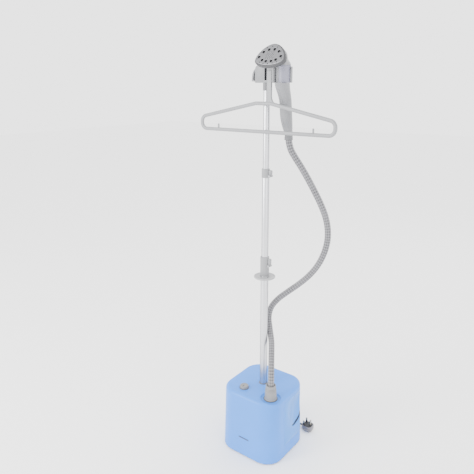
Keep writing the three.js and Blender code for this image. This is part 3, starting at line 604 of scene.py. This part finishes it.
def mains_route():
    """Out of the base, inwards round the lower layer, up, outwards round the upper layer, and
    along the floor to the plug."""
    width = COIL_OUTER - COIL_INNER
    route = [mm(*p) for p in LEAD_ROUTE]
    for k in range(LOWER_TURNS * STEPS_PER_TURN + 1):
        turn = k / STEPS_PER_TURN
        route.append(coil_point(turn, COIL_OUTER - width * turn / LOWER_TURNS, COIL_LOWER))
    climb = round(CLIMB_TURNS * STEPS_PER_TURN)
    for k in range(1, climb + 1):
        ease = (1 - cos(pi * k / climb)) / 2
        turn = LOWER_TURNS + k / STEPS_PER_TURN
        route.append(coil_point(turn, COIL_INNER, COIL_LOWER + LAYER_RISE * ease))
    for k in range(1, round(UPPER_TURNS * STEPS_PER_TURN) + 1):
        turn = k / STEPS_PER_TURN
        radius = COIL_INNER + width * turn / UPPER_TURNS
        height = COIL_LOWER + LAYER_RISE
        route.append(coil_point(LOWER_TURNS + CLIMB_TURNS + turn, radius, height))
    return route + [mm(*p) for p in TAIL_ROUTE]


def add_mains():
    line, total = resample(catmull_rom(mains_route(), 2), 2.5 * MM)
    mesh, _ = tube_mesh(line, CORD_RADIUS, 16)
    solids = ["power_cord_lead", "power_cord_coil", "power_cord_tail"]
    lead = piece("power_cord", mesh, "base", "cord", solids, sharp=None)
    return lead, line, total


mains = add_mains()


# ---------- shapes shared by several pieces ----------
def spread(rings, per_span):
    """Rings between the given ones, each point on a smooth curve through its own places."""
    sides = range(len(rings[0]))
    columns = [catmull_rom([ring[i] for ring in rings], per_span) for i in sides]
    return [[column[k] for column in columns] for k in range(len(columns[0]))]


def ring_at(place, first, second, radius_a, radius_b, sides, power=2.0):
    """A ring about a place, spanned by two directions. A power above 2 makes it squarer."""
    points = []
    for i in range(sides):
        c, s = cos(2 * pi * i / sides), sin(2 * pi * i / sides)
        a = math.copysign(abs(c) ** (2 / power), c) * radius_a
        b = math.copysign(abs(s) ** (2 / power), s) * radius_b
        points.append(place + first * a + second * b)
    return points


X, Y, Z = Vector((1, 0, 0)), Vector((0, 1, 0)), Vector((0, 0, 1))


def box_mm(name):
    """The two corners of a CAD node's box, in millimetres."""
    low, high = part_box(name)
    return low / MM, high / MM


def centre_of(name):
    """The middle of a CAD node's box, in millimetres."""
    low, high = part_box(name)
    return (low + high) / 2 / MM


def rod_mesh(start, end, radius, sides=32):
    """A plain rod between two points in mm, used as a cutter or as a small shaft."""
    a, b = mm(*start), mm(*end)
    along = (b - a).normalized()
    first = along.orthogonal().normalized()
    second = along.cross(first)
    rings = [ring_at(p, first, second, radius * MM, radius * MM, sides) for p in (a, b)]
    return loft(rings)


def slab_mesh(outline, y0, y1):
    """An outline of (x, z) points in mm, extruded along Y."""
    rings = [[mm(x, y, z) for x, z in outline] for y in (y0, y1)]
    n = len(outline)
    faces = [(i, (i + 1) % n, n + (i + 1) % n, n + i) for i in range(n)]
    faces += [tuple(range(n)), tuple(range(n, 2 * n))]
    return mesh_from(rings[0] + rings[1], faces)


# ---------- base ----------
base_low, base_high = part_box("base_shell")
BASE_HALF = base_high.x / MM
BASE_TOP = base_high.z / MM
BASE_BOTTOM = base_low.z / MM
BASE_CORNER = 60  # radius of the upright corners, seen from above
BASE_EDGE = 12.5  # radius of the edge round the top
EDGE_START = BASE_TOP - BASE_EDGE
BASE_HALF_TOP = 110.4  # half the width at the start of the top edge
CUFF_AT = centre_of("hose_cuff").xy
KNOB_AT = centre_of("control_knob").xy


def base_ring(half, corner, z, steps=18):
    ring = []
    for quarter, (sx, sy) in enumerate(((1, 1), (-1, 1), (-1, -1), (1, -1))):
        for k in range(steps + 1):
            angle = pi / 2 * (quarter + k / steps)
            x = sx * (half - corner) + corner * cos(angle)
            y = sy * (half - corner) + corner * sin(angle)
            ring.append(mm(x, y, z))
    return ring


def base_form(inset, bottom, top):
    """The base's outer form drawn in by an inset: nearly straight sides and a rounded top edge."""
    slope = (BASE_HALF - BASE_HALF_TOP) / (EDGE_START - BASE_BOTTOM)

    def ring(z, shrink=0.0):
        half = BASE_HALF - slope * (min(z, EDGE_START) - BASE_BOTTOM) - inset - shrink
        return base_ring(half, BASE_CORNER - inset - shrink, z)

    if inset:
        rings = [ring(bottom)]
    else:
        rings = [ring(bottom, 1.2), ring(bottom + 0.4, 0.35), ring(bottom + 1.2), ring(bottom + 4)]
    rings += [ring(60), ring(120), ring(180), ring(EDGE_START - 1.5), ring(EDGE_START)]
    reach = BASE_EDGE - inset
    steps = 14
    for k in range(1, steps + 1):
        angle = pi / 2 * k / steps
        z = EDGE_START + (top - EDGE_START) * sin(angle)
        rings.append(ring(z, reach * (1 - cos(angle))))
    rings.append(ring(top, reach + 0.6))
    rings.append(ring(top, reach + 3))
    return loft(rings)


def lens_mesh(centre, radius, floor, top):
    """A round cutter with a soft lower rim, for a shallow dish."""
    rim = 2.0
    profile = [(0, floor)]
    for k in range(7):
        angle = pi / 2 * k / 6
        r = radius - rim + rim * sin(angle)
        profile.append((r, floor + rim * (1 - cos(angle))))
    profile += [(radius, top), (0, top)]
    return turned(profile, centre, 72)


BAY_Y0, BAY_Y1, BAY_Z0, BAY_Z1 = -34, 96, 45, 214


def tank_window(grow, x0=60, x1=140):
    """The side opening's outline, with rounded corners, as a block."""
    corners = []
    radius = 9
    for (sy, sz), begin in (((1, 1), 0), ((-1, 1), 1), ((-1, -1), 2), ((1, -1), 3)):
        cy = (BAY_Y1 + grow - radius) if sy > 0 else (BAY_Y0 - grow + radius)
        cz = (BAY_Z1 + grow - radius) if sz > 0 else (BAY_Z0 - grow + radius)
        for k in range(9):
            angle = pi / 2 * (begin + k / 8)
            corners.append((cy + radius * cos(angle), cz + radius * sin(angle)))
    return loft([[mm(x, y, z) for y, z in corners] for x in (x0, x1)])


def top_hole(centre, radius, sides=32):
    """A cutter through the base's top wall."""
    return rod_mesh((*centre, 200), (*centre, 250), radius, sides)


POLE_HOLE, CUFF_HOLE, KNOB_HOLE, LEAD_HOLE = 12.9, 11.4, 3.6, 7.4
DISH_RADIUS = 34
DISH_FLOOR = BASE_TOP - 2.5


def add_base():
    knob_floor = BASE_TOP - 0.7
    knob_seat = [(0, knob_floor), (17.2, knob_floor), (17.8, BASE_TOP + 3), (0, BASE_TOP + 3)]
    tools = [
        base_form(3, BASE_BOTTOM - 1, BASE_TOP - 6),
        tank_window(0),
        lens_mesh(CUFF_AT, DISH_RADIUS, DISH_FLOOR, BASE_TOP + 5),
        top_hole((0, 0), POLE_HOLE, 48),
        top_hole(CUFF_AT, CUFF_HOLE, 48),
        top_hole(KNOB_AT, KNOB_HOLE),
        turned(knob_seat, KNOB_AT, 64),
        rod_mesh((-15, 100, 18), (-15, 130, 18), LEAD_HOLE),
    ]
    cover = combined(base_form(0, BASE_BOTTOM, BASE_TOP), tools)
    piece("base_cover", cover, "base", "blue", ["base_shell"], sharp=40)

    # a soft gasket ring round the pole where it enters the cover
    profile = [(POLE_HOLE, BASE_TOP - 1), (15.5, BASE_TOP - 1),
               (15.2, BASE_TOP + 1.2), (POLE_HOLE, BASE_TOP + 1.4)]
    piece("pole_grommet", turned(softened(profile, 0.5)), "base", "grey")


GRIP_CENTRE, GRIP_RADIUS = (213.2, 64.8, 152), 120
SLOT_ROUTE = [
    (112, 16, 99), (112, 28, 96.6), (109.8, 46, 95.6),
    (107, 67, 97.8), (103.8, 80.5, 104), (100, 87, 112),
]
OUTLET_Y, OUTLET_Z = 30, 60
FILLER_X, FILLER_Y = 72, 30


def ball_mesh(centre, radius):
    work = bmesh.new()
    bmesh.ops.create_uvsphere(work, u_segments=160, v_segments=110, radius=radius * MM)
    bmesh.ops.translate(work, verts=work.verts, vec=mm(*centre))
    mesh = bpy.data.meshes.new("ball")
    work.to_mesh(mesh)
    work.free()
    return mesh


def add_tank():
    """The tank, cut from the base's own form so that its outer face runs on from the base."""
    low, high = box_mm("water_tank")
    slot_line = catmull_rom([mm(*p) for p in SLOT_ROUTE], 8)
    form = base_form(0, BASE_BOTTOM, BASE_TOP)
    hull = combined(form, [tank_window(-0.7, low.x + 9, 140)], "INTERSECT")
    outlet = rod_mesh((low.x, OUTLET_Y, OUTLET_Z), (low.x + 12, OUTLET_Y, OUTLET_Z), 7)
    hull = combined(hull, [outlet], "UNION")
    slot_tool, _ = tube_mesh(slot_line, 3.8 * MM, 20)
    filler = rod_mesh((FILLER_X, FILLER_Y, high.z - 9), (FILLER_X, FILLER_Y, high.z + 9), 15, 48)
    hull = combined(hull, [ball_mesh(GRIP_CENTRE, GRIP_RADIUS), slot_tool, filler])
    hull = bevelled(hull, 0.7, 2, 40)
    piece("tank_body", hull, "water_tank", "tank", ["water_tank"], sharp=40)

    # a black strip down in the finger slot: painted shade in the slot
    inner = [p + Vector((-1.6, 0, 0.3)) * MM for p in slot_line]
    strip, _ = tube_mesh(inner, 2.6 * MM, 16)
    piece("tank_slot_shade_strip", strip, "water_tank", "black", sharp=None)


def add_knob():
    low, high = box_mm("control_knob")
    x, y = KNOB_AT
    radius = (high.x - low.x) / 2
    bottom, top = BASE_TOP + 0.3, high.z - 1
    sides = 180
    flutes, flute_depth = 30, 0.35
    # each level is a share of the radius and a height, and the flutes run over levels 1 to 4
    levels = [(0.93, bottom), (1, bottom + 0.8), (0.995, bottom + 2), (0.96, top - 2.4),
              (0.93, top - 1.2), (0.86, top - 0.4), (0.78, top), (0.72, top),
              (0.70, top - 0.7), (0.3, top - 0.8)]
    rings = []
    for k, (scale, z) in enumerate(levels):
        ring = []
        for i in range(sides):
            angle = 2 * pi * i / sides
            r = radius * scale
            if 1 <= k <= 4:
                r -= flute_depth * (0.5 - 0.5 * cos(flutes * angle))
            ring.append(mm(x + r * cos(angle), y + r * sin(angle), z))
        rings.append(ring)
    shaft = rod_mesh((x, y, low.z), (x, y, bottom + 1), 3)
    cap = combined(loft(rings), [shaft], "UNION")
    piece("knob_cap", cap, "control_knob", "shade", ["control_knob"])
    mark = box_mesh((x - 1.1, y - 9.6, top - 1.4), (x + 1.1, y - 1.5, top + 0.3))
    piece("knob_mark", bevelled(mark, 0.35), "control_knob", "dark")
    skirt = [(13, BASE_TOP - 0.6), (16.9, BASE_TOP - 0.6), (16.5, BASE_TOP), (13, BASE_TOP)]
    skirt = turned(softened(skirt, 0.2), KNOB_AT)
    piece("knob_skirt", skirt, "base", "grey")


def add_cuff():
    """The grooved cuff, a dark ring round its foot that paints its contact shadow, a darker blue
    disc on the dish's floor that paints the dish's shade, and the hose's seal.
    """
    low, high = box_mm("hose_cuff")
    foot = BASE_TOP - 2.2
    top = high.z
    mouth = 13.4
    shape = [(19.9, foot + 6), (19.8, foot + 16), (19.6, top - 28), (19.0, top - 22)]
    for k in range(3):
        r = 18.9 - 0.75 * k
        z = top - 18.5 + 4.2 * k
        shape += [(r, z - 1.3), (r - 1.3, z - 0.8), (r - 1.3, z + 0.8), (r - 0.15, z + 1.3)]
    shape += [(17.2, top - 4), (16.9, top - 1), (16.3, top)]
    spigot = [(8, low.z), (11, low.z), (11, foot), (22, foot), (22, foot + 2), (20.2, foot + 3.8)]
    bore = [(mouth, top), (mouth, top - 7), (10.4, top - 7), (10.4, 263), (8, 263)]
    body = turned(softened(spigot + shape + bore, 0.4, 2), CUFF_AT, 96)
    piece("cuff_body", body, "base", "shade", ["hose_cuff"], sharp=50)
    # a dark ring round the cuff's foot: a painted contact shadow
    ring = [(21, foot - 0.1), (23.6, foot - 0.1), (23.4, foot + 2),
            (22.2, foot + 2.8), (21, foot + 2.8)]
    ring = turned(softened(ring, 0.3), CUFF_AT, 96)
    piece("cuff_foot_shadow_ring", ring, "base", "dark")
    # a darker blue disc on the dish's floor: painted shade round the cuff
    floor = [(23.7, foot - 0.2), (33.6, foot - 0.2), (33.6, foot + 0.25), (23.7, foot + 0.25)]
    floor = turned(softened(floor, 0.1), CUFF_AT, 96)
    piece("dish_shade_floor", floor, "base", "dish_shade")
    seal = [(10.3, top - 6.8), (13.1, top - 6.8), (13.1, top - 2.2),
            (12.4, top - 1.2), (10.3, top - 1.2)]
    piece("cuff_seal", turned(softened(seal, 0.5), CUFF_AT), "base", "dark")


# ---------- pole ----------
TUBES = {"lower_tube": "base", "mid_tube": "mid_section", "upper_tube": "upper_section"}
TUBE_WALL = 1.0


def add_pole():
    for name, body in TUBES.items():
        low, high = box_mm(name)
        r = high.x
        bore = r - TUBE_WALL
        profile = softened([(bore, low.z), (r, low.z), (r, high.z), (bore, high.z)], 0.3, 2)
        piece(name + "_drawn", turned(profile, sides=96), body, "tube", [name])

    low, high = box_mm("pole_disc")
    r, z = high.x, low.z
    profile = [(12.8, z + 1.2), (19, z + 1.2), (r - 4, z), (r - 1.2, z + 0.8), (r, z + 2.6),
               (r, high.z - 1.8), (r - 1.4, high.z), (r - 3, high.z), (r - 5, high.z - 1.2),
               (19, high.z - 1.8), (12.8, high.z - 1.8)]
    saucer = turned(softened(profile, 0.9, 3), sides=96)
    piece("disc_saucer", saucer, "base", "bright", ["pole_disc"], sharp=50)

    refined("lower_lock_collar", "base", "pale", 0.5)
    refined("lower_lock_lever", "lower_lever", "pale", 0.7, 3)
    refined("upper_lock_collar", "mid_section", "pale", 0.5)
    refined("upper_lock_lever", "upper_lever", "pale", 0.7, 3)
    low, high = box_mm("holder_sleeve")
    profile = softened([(9.8, low.z), (high.x, low.z + 1), (high.x, high.z), (9.8, high.z)], 0.5)
    ring = turned(profile)
    piece("sleeve_ring", ring, "upper_section", "grey", ["holder_sleeve"])
    refined("holder_body", "upper_section", "shade", 0.9, 3)
    add_shade_pads_and_lip()


SLIT_X0, SLIT_X1, SLIT_Z0, SLIT_Z1 = -1.4, 7, 1250, 1284
SLIT_FRONT, SLIT_BACK = -12, 4


def add_shade_pads_and_lip():
    """Dark pads on the walls of the holder's slit and in its side hook, which paint the shade in
    those hollows, and a lip that meets the neck.
    """
    # dark pads on the slit's walls: painted shade in the slit
    pads = [
        box_mesh((SLIT_X0, SLIT_FRONT + 2, SLIT_Z0 + 1), (SLIT_X0 + 0.8, SLIT_BACK, SLIT_Z1 - 1)),
        box_mesh((SLIT_X0, SLIT_BACK - 0.8, SLIT_Z0 + 1), (SLIT_X1, SLIT_BACK, SLIT_Z1 - 1)),
    ]
    for k, pad in enumerate(pads):
        piece(f"slit_shade_pad_{k + 1}", bevelled(pad, 0.2, 1), "upper_section", "dark")
    lip = box_mesh((36.4, -20.5, 1244.5), (38.2, 1.3, 1285))
    piece("cradle_lip", bevelled(lip, 0.5, 2), "upper_section", "shade")
    # a dark pad on the hook's inner face: painted shade in the hook
    outer = [(-46, 1251), (-45.9, 1255), (-45.5, 1260), (-44.8, 1265), (-43.9, 1269.5),
             (-42.6, 1273.3), (-41, 1276)]
    inner = [(-39.9, 1275), (-41.4, 1272.4), (-42.7, 1268.8), (-43.6, 1264.5), (-44.3, 1259.8),
             (-44.7, 1255), (-44.8, 1251)]
    pad = slab_mesh(outer + inner, -5.6, 5.6)
    piece("hook_shade_pad", pad, "upper_section", "dark")


# ---------- hanger ----------
def rounded_loop(corners, steps=10):
    """Points round a closed outline of (x, z, corner radius)."""
    points = []
    count = len(corners)
    for i, (x, z, r) in enumerate(corners):
        here = Vector((x, z))
        back = (Vector(corners[i - 1][:2]) - here).normalized()
        on = (Vector(corners[(i + 1) % count][:2]) - here).normalized()
        half = back.angle(on) / 2
        reach = r / math.tan(half)
        bisector = (back + on).normalized()
        centre = here + bisector * (r / sin(half))
        start, end = here + back * reach - centre, here + on * reach - centre
        sweep = start.angle_signed(end)
        for k in range(steps + 1):
            turn = Matrix.Rotation(-sweep * k / steps, 2)
            points.append(centre + turn @ start)
    return points


HANGER_SIDES = 28
HANGER_PEAK = 1184.5
STEM_LEFT, STEM_RIGHT, STEM_TOP = 13.5, 29.5, 1276
STEM_FLARE = 1206  # the height where the stem starts to widen into the bar


def add_hanger():
    low, high = box_mm("hanger")
    half_bar, half_depth = 5.5, 4.5
    tip = high.x - half_bar
    y = low.y + half_depth
    bottom = low.z + half_bar
    corners = [(-tip, bottom, 19), (tip, bottom, 19), (tip, 1140, 19),
               (27, HANGER_PEAK, 30), (-27, HANGER_PEAK, 30), (-tip, 1140, 19)]
    path = rounded_loop(corners, 12)
    vertices = []
    for i, here in enumerate(path):
        along = (path[(i + 1) % len(path)] - path[i - 1]).normalized()
        outward = Vector((along.y, 0, -along.x))
        place = mm(here.x, y, here.y)
        vertices += ring_at(place, outward, Y, half_bar * MM, half_depth * MM, HANGER_SIDES, 2.8)
    loop = mesh_from(vertices, skin_faces(len(path), HANGER_SIDES, closed=True))

    outline = [(STEM_LEFT, HANGER_PEAK - 2), (STEM_LEFT, STEM_TOP), (STEM_RIGHT, STEM_TOP),
               (STEM_RIGHT, STEM_FLARE)]
    for k in range(1, 9):
        t = k / 8
        x = STEM_RIGHT + 1 * 2 * t * (1 - t) + 14 * t * t
        z = STEM_FLARE - 17 * 2 * t * (1 - t) - 22 * t * t
        outline.append((x, z))
    stem = bevelled(slab_mesh(outline, -21.5, -15.5), 1.1)
    lug = bevelled(box_mesh((17.3, -17, 1252.3), (25.7, -5, 1269.7)), 0.8)
    pegs = []
    for x in (-171, 171):
        profile = [(0, bottom), (3, bottom), (2.7, bottom + 16.5), (1.6, bottom + 18),
                   (0, bottom + 18)]
        pegs.append(turned(profile, (x, y), 20))
    body = combined(loop, [stem, lug, *pegs], "UNION")
    piece("hanger_frame", body, "hanger", "pale", ["hanger"], sharp=45)


# ---------- handset ----------
HANDSET_X = 58
HANDLE_LEVELS = [  # each is the centre's z and y, then half the width and half the depth
    (1092, 35, 11.5, 10.5), (1098, 33, 12.6, 11.6), (1107, 29.5, 14, 13), (1122, 24.5, 16, 16),
    (1143, 19, 17.3, 18.3), (1163, 16, 17.8, 18.2), (1187, 13, 18.2, 17), (1205, 7.5, 18.6, 18.5),
    (1220, 0.5, 19, 21.5), (1232, -4.5, 19, 24.5), (1242.7, -7.5, 19, 26),
]
HANDLE_SIDES = 72
WALL = 2.5
STEAM_TUBE_Y, STEAM_TUBE_HOLE = 1.4, 10.3


def handle_rings(shrink):
    rings = []
    for z, y, a, b in HANDLE_LEVELS:
        place = mm(HANDSET_X, y, z)
        a, b = (a - shrink) * MM, (b - shrink) * MM
        rings.append(ring_at(place, X, Y, a, b, HANDLE_SIDES, 2.15))
    return spread(rings, 5)


def lowered(ring, drop):
    return [v - Z * drop * MM for v in ring]


def add_handle():
    """The handle's two hollow halves, parted at its middle plane."""
    outer = handle_rings(0)
    centre = sum(outer[-1], Vector()) / HANDLE_SIDES
    lip = [centre * 0.03 + v * 0.97 for v in outer[-1]]
    skin = loft(outer[:-1] + [lowered(outer[-1], 0.4), lip])
    inner = handle_rings(WALL)
    room = loft([lowered(inner[0], 2)] + inner[:-4] + [lowered(inner[-1], WALL)])
    tube_hole = rod_mesh((HANDSET_X, STEAM_TUBE_Y, 1230), (HANDSET_X, STEAM_TUBE_Y, 1250),
                         STEAM_TUBE_HOLE, 40)
    shell = combined(skin, [room, tube_hole])
    seam = 0.15
    cutters = {
        "left": box_mesh((HANDSET_X - seam, -60, 1050), (120, 80, 1260)),
        "right": box_mesh((0, -60, 1050), (HANDSET_X + seam, 80, 1260)),
    }
    for side, cutter in cutters.items():
        half = bevelled(combined(shell.copy(), [cutter]), 0.25, 2, 50)
        piece(f"handle_{side}_half", half, "handset", "handle",
              [f"handle_{side}_shell"], sharp=50)


def add_neck():
    """The sleeve between handle and head, and a fairing that closes the gap to the holder."""
    low, high = box_mm("neck_collar")
    r = (high.x - low.x) / 2
    profile = [(8.2, low.z), (r - 0.4, low.z), (r, low.z + 1), (r, low.z + 6.5),
               (r - 0.2, low.z + 7.4), (r - 0.2, high.z - 6.4), (r, high.z - 5.6), (r, high.z),
               (8.2, high.z)]
    centre = ((low.x + high.x) / 2, (low.y + high.y) / 2)
    sleeve = turned(softened(profile, 0.5, 3), centre, 96)
    piece("neck_sleeve", sleeve, "handset", "lilac", ["neck_collar"], sharp=50)
    fairing = [
        (38.5, -1), (38.5, -12.6), (39.2, -13.9), (41, -14.8), (46, -16.1),
        (50, -17.1), (51.6, -17.3), (51.8, -16.2), (46, -10), (42, -1),
    ]
    wedge = loft([[mm(x, y, z) for x, y in fairing] for z in (low.z + 2, high.z - 5.5)])
    piece("neck_fairing", bevelled(wedge, 0.4, 2), "handset", "shade")


PLATE_CENTRE = mm(HANDSET_X, -72.7, 1314.5)
PLATE_TILT = radians(29)
OUTWARD = Vector((0, -cos(PLATE_TILT), sin(PLATE_TILT)))
UP_PLATE = Vector((0, sin(PLATE_TILT), cos(PLATE_TILT)))
HEAD_FOOT = 1291
EGG_SIDES = 96
RIM = 3.3  # how far the surround stands out past the plate's edge


def on_plate(s, t, out):
    """A place s across the plate, t up it and out from its face, in mm."""
    return PLATE_CENTRE + (X * s + UP_PLATE * t + OUTWARD * out) * MM


def egg_ring(grow, out):
    """The plate's outline: an egg, wide and low, with its narrow end up."""
    points = []
    for i in range(EGG_SIDES):
        angle = 2 * pi * (i + 0.5) / EGG_SIDES
        c, s = cos(angle), sin(angle)
        half = 46.5 * (1 - 0.07 * s) + grow
        high = (43.5 if s > 0 else 20) + grow
        narrowing = 1 - 0.16 * s * s if s > 0 else 1 - 0.02 * s
        points.append(on_plate(half * c * narrowing, -8 + high * s, out))
    return points


def head_ring(forward, height, lean, half_x, half_t, wall):
    """A ring of the head, forward of and above the neck's top, tipped up from level by lean."""
    lean = radians(lean)
    place = mm(HANDSET_X, STEAM_TUBE_Y - forward, HEAD_FOOT + height)
    up = Vector((0, cos(lean), sin(lean)))
    points = []
    for i in range(EGG_SIDES):
        angle = 2 * pi * (i + 0.5) / EGG_SIDES
        across = X * (half_x - wall) * cos(angle)
        points.append(place + (across + up * (half_t - wall) * sin(angle)) * MM)
    return points


def head_rings(wall):
    """The head from neck to plate. With a wall it is the room inside, a little past both ends."""
    rings = [
        head_ring(0, -1 if wall else 0, 0, 20, 20, wall),
        head_ring(2, 4, 12, 19, 19, wall),
        head_ring(9, 9, 35, 18, 16.5, wall),
        head_ring(26, 17, 54, 27, 18, wall),
        head_ring(44, 21.5, 59, 37, 22.5, wall),
        egg_ring(RIM - wall, -11 if wall else -12.3),
    ]
    return spread(rings, 7)


# places across and up the plate, each repeated on the other side where it isn't in the middle
STEAM_HOLES = [(35.5, -2.6), (22.3, -12.4), (8.5, -16.1), (25, 12.2), (8.9, 18.9)]
DIMPLES = [(0, 28), (17, 24.5), (32, 11.5), (40, -9), (28, -19.5), (15, -23.5), (0, -24.5)]


def cut_into_plate(s, t, radius, depth, sides=28):
    """A round cutter in the plate, wider at its mouth."""
    place = on_plate(s, t, 0)
    mouth = radius * 1.25
    rings = []
    for r, out in ((radius, -depth), (radius, -0.7), (mouth, 0.1), (mouth, 2)):
        rings.append(ring_at(place + OUTWARD * out * MM, X, UP_PLATE, r * MM, r * MM, sides))
    return loft(rings)


def egg_loft(*levels):
    """A skin through the plate's outline, at levels of (growth, distance out)."""
    return loft([egg_ring(grow, out) for grow, out in levels])


def add_head():
    shell = combined(loft(head_rings(0)), [loft(head_rings(WALL))])
    piece("head_cover", shell, "handset", "pale", ["head_shell"], sharp=50)

    rim = egg_loft((RIM, -12), (RIM, -6.5), (RIM - 0.2, -5), (RIM - 0.8, -3.6),
                   (RIM - 1.5, -2.8), (0.9, -2.2))
    room = egg_loft((-6, -14), (-6, -4.3), (0, -4.3), (0, 1))
    surround = combined(rim, [room])
    # the surround's near-black grey is partly its own colour and partly painted shade on its side
    # faces
    piece("plate_surround", surround, "handset", "rim", ["plate_gasket"], sharp=50)

    plate = egg_loft((-0.4, -4), (-0.4, -1.6), (-0.9, -0.8), (-1.8, -0.25), (-3, 0))
    tools = []
    for s, t in STEAM_HOLES:
        tools += [cut_into_plate(s, t, 4.2, 8), cut_into_plate(-s, t, 4.2, 8)]
    for s, t in DIMPLES:
        tools.append(cut_into_plate(s, t, 1.5, 1.8, 16))
        if s:
            tools.append(cut_into_plate(-s, t, 1.5, 1.8, 16))
    for row in range(-2, 3):
        # staggered short grooves spread the steam across the middle
        t = 1.5 + 4.6 * row
        count = 4 - row % 2
        for k in range(count):
            s = (k - (count - 1) / 2) * 7.4
            ends = [on_plate(s - 2, t, 0.1), on_plate(s + 2, t, 0.1)]
            rings = [ring_at(p, UP_PLATE, OUTWARD, 1.3 * MM, 1.6 * MM, 12) for p in ends]
            tools.append(loft(rings))
    plate = combined(plate, tools)
    backing = egg_loft((-1, -4.9), (-1, -4.4))
    piece("steam_chamber_plate", backing, "handset", "black")
    piece("plate_face", plate, "handset", "plate", ["steam_plate"], sharp=35)


def add_connector():
    low, high = box_mm("hose_connector")
    hose_end = HOSE_ROUTE[-1][2] + 1
    profile = [(10.9, low.z), (12.6, low.z), (13.4, low.z + 1.5), (13.2, low.z + 3.4),
               (12.5, low.z + 3.9), (12.5, low.z + 5.1), (13.0, low.z + 5.6), (12.8, low.z + 8.2),
               (12.2, low.z + 8.7), (12.2, high.z), (6, high.z), (6, hose_end), (10.4, hose_end)]
    ring = turned(softened(profile, 0.4, 2), (HANDSET_X, HOSE_ROUTE[-1][1]), 72)
    piece("connector_ring", ring, "handset", "grey", ["hose_connector"])


# ---------- mains lead fittings ----------
def add_strain_relief():
    low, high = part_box("cord_strain_relief")
    centre = centre_of("cord_strain_relief")
    start, end = low.y / MM, high.y / MM
    profile = [(0, start), (9.4, start), (9.4, start + 3), (6.9, start + 3), (6.9, start + 12)]
    count = 6
    for k in range(count):
        y = start + 13.5 + k * 3.6
        r = 6.8 - 1.9 * (k + 0.5) / count
        profile += [(r + 0.1, y), (r - 1.2, y + 0.5), (r - 1.2, y + 1.7), (r - 0.1, y + 2.2)]
    profile += [(4.7, end - 0.8), (4.2, end), (0, end)]
    rings = []
    for r, y in profile:
        if r > 0:
            rings.append(ring_at(mm(centre.x, y, centre.z), X, Z, r * MM, r * MM, 40))
    sleeve = loft(rings)
    piece("relief_sleeve", sleeve, "base", "cord", ["cord_strain_relief"], sharp=40)


PLUG_X, PLUG_Y, PLUG_HALF = 105, 145, 20
PLUG_NOSE, CORD_HEIGHT = 82, 11
# the pins, with how much of each a black sleeve covers
PIN_SLEEVES = {"plug_pin_earth": 0, "plug_pin_live": 9, "plug_pin_neutral": 9}


def plug_ring(z, scale):
    half = PLUG_HALF * scale * MM
    return ring_at(mm(PLUG_X, PLUG_Y, z), X, Y, half, half, 72, 3)


def plug_rod(start, end, radius):
    """A rod along the plug's lead, between two places in x."""
    return rod_mesh((start, PLUG_Y, CORD_HEIGHT), (end, PLUG_Y, CORD_HEIGHT), radius, 40)


def add_plug():
    """The plug's body, face, pins and the sleeves on two pins. Returns all of them."""
    _, high = box_mm("plug_body")
    levels = [(0, 0.66), (0.4, 0.72), (1.5, 0.83), (5, 0.93), (7.6, 0.965), (7.9, 0.955),
              (8.6, 0.955), (8.9, 0.978), (10, 0.99), (15, 1), (19, 0.98), (21.3, 0.95),
              (21.9, 0.925), (high.z, 0.9)]
    body = loft([plug_ring(z, scale) for z, scale in levels])
    body = combined(body, [plug_rod(PLUG_NOSE, PLUG_NOSE + 10, 6.4)], "UNION")
    grooves = []
    for k in range(2):
        x = PLUG_NOSE + 1.4 + 2.4 * k
        grooves.append(combined(plug_rod(x, x + 1, 8), [plug_rod(x - 1, x + 2, 5.6)]))
    pin_holes = []
    for name in PIN_SLEEVES:
        a, b = box_mm(name)
        pin_holes.append(box_mesh((a.x - 0.25, a.y - 0.25, 8),
                                  (b.x + 0.25, b.y + 0.25, high.z + 4)))
    body = combined(body, grooves + pin_holes)
    made = [piece("plug_moulding", body, "base", "plug", ["plug_body"], sharp=35)]

    plate = loft([plug_ring(high.z - 0.5, 0.84), plug_ring(high.z + 0.35, 0.82)])
    plate = bevelled(combined(plate, pin_holes), 0.25, 2)
    made.append(piece("plug_face", plate, "base", "black"))
    for name, length in PIN_SLEEVES.items():
        made.append(refined(name, "base", "brass", 0.8, 2))
        if not length:
            continue
        a, b = box_mm(name)
        foot = high.z + 0.4
        hull = box_mesh((a.x - 0.12, a.y - 0.12, foot), (b.x + 0.12, b.y + 0.12, foot + length))
        hull = bevelled(hull, 0.6, 2)
        made.append(piece(name + "_sleeve", hull, "base", "black"))
    return made


add_base()
add_tank()
add_knob()
add_cuff()
add_pole()
add_hanger()
add_handle()
add_neck()
add_head()
add_connector()
add_strain_relief()
add_plug()


# ---------- CAD nodes that stay ----------
kept = {
    "dark": "base_pan front_badge pole_socket mid_tube_bush upper_tube_bush knob_switch",
    "black": "foot_front_left foot_front_right foot_rear_left foot_rear_right tank_valve cord_tie",
    "grey": "tank_bay",
    "pale": "valve_seat feed_tube boiler_feed_tube tank_cap",
    "casting": "boiler pump",
    "steel": "steam_pipe handset_steam_tube lower_lock_pin upper_lock_pin",
    "brass": "boiler_thermostat",
    "board": "control_board",
}
for look, names in kept.items():
    for name in names.split():
        for node_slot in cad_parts[name].material_slots:
            node_slot.material = looks[look]
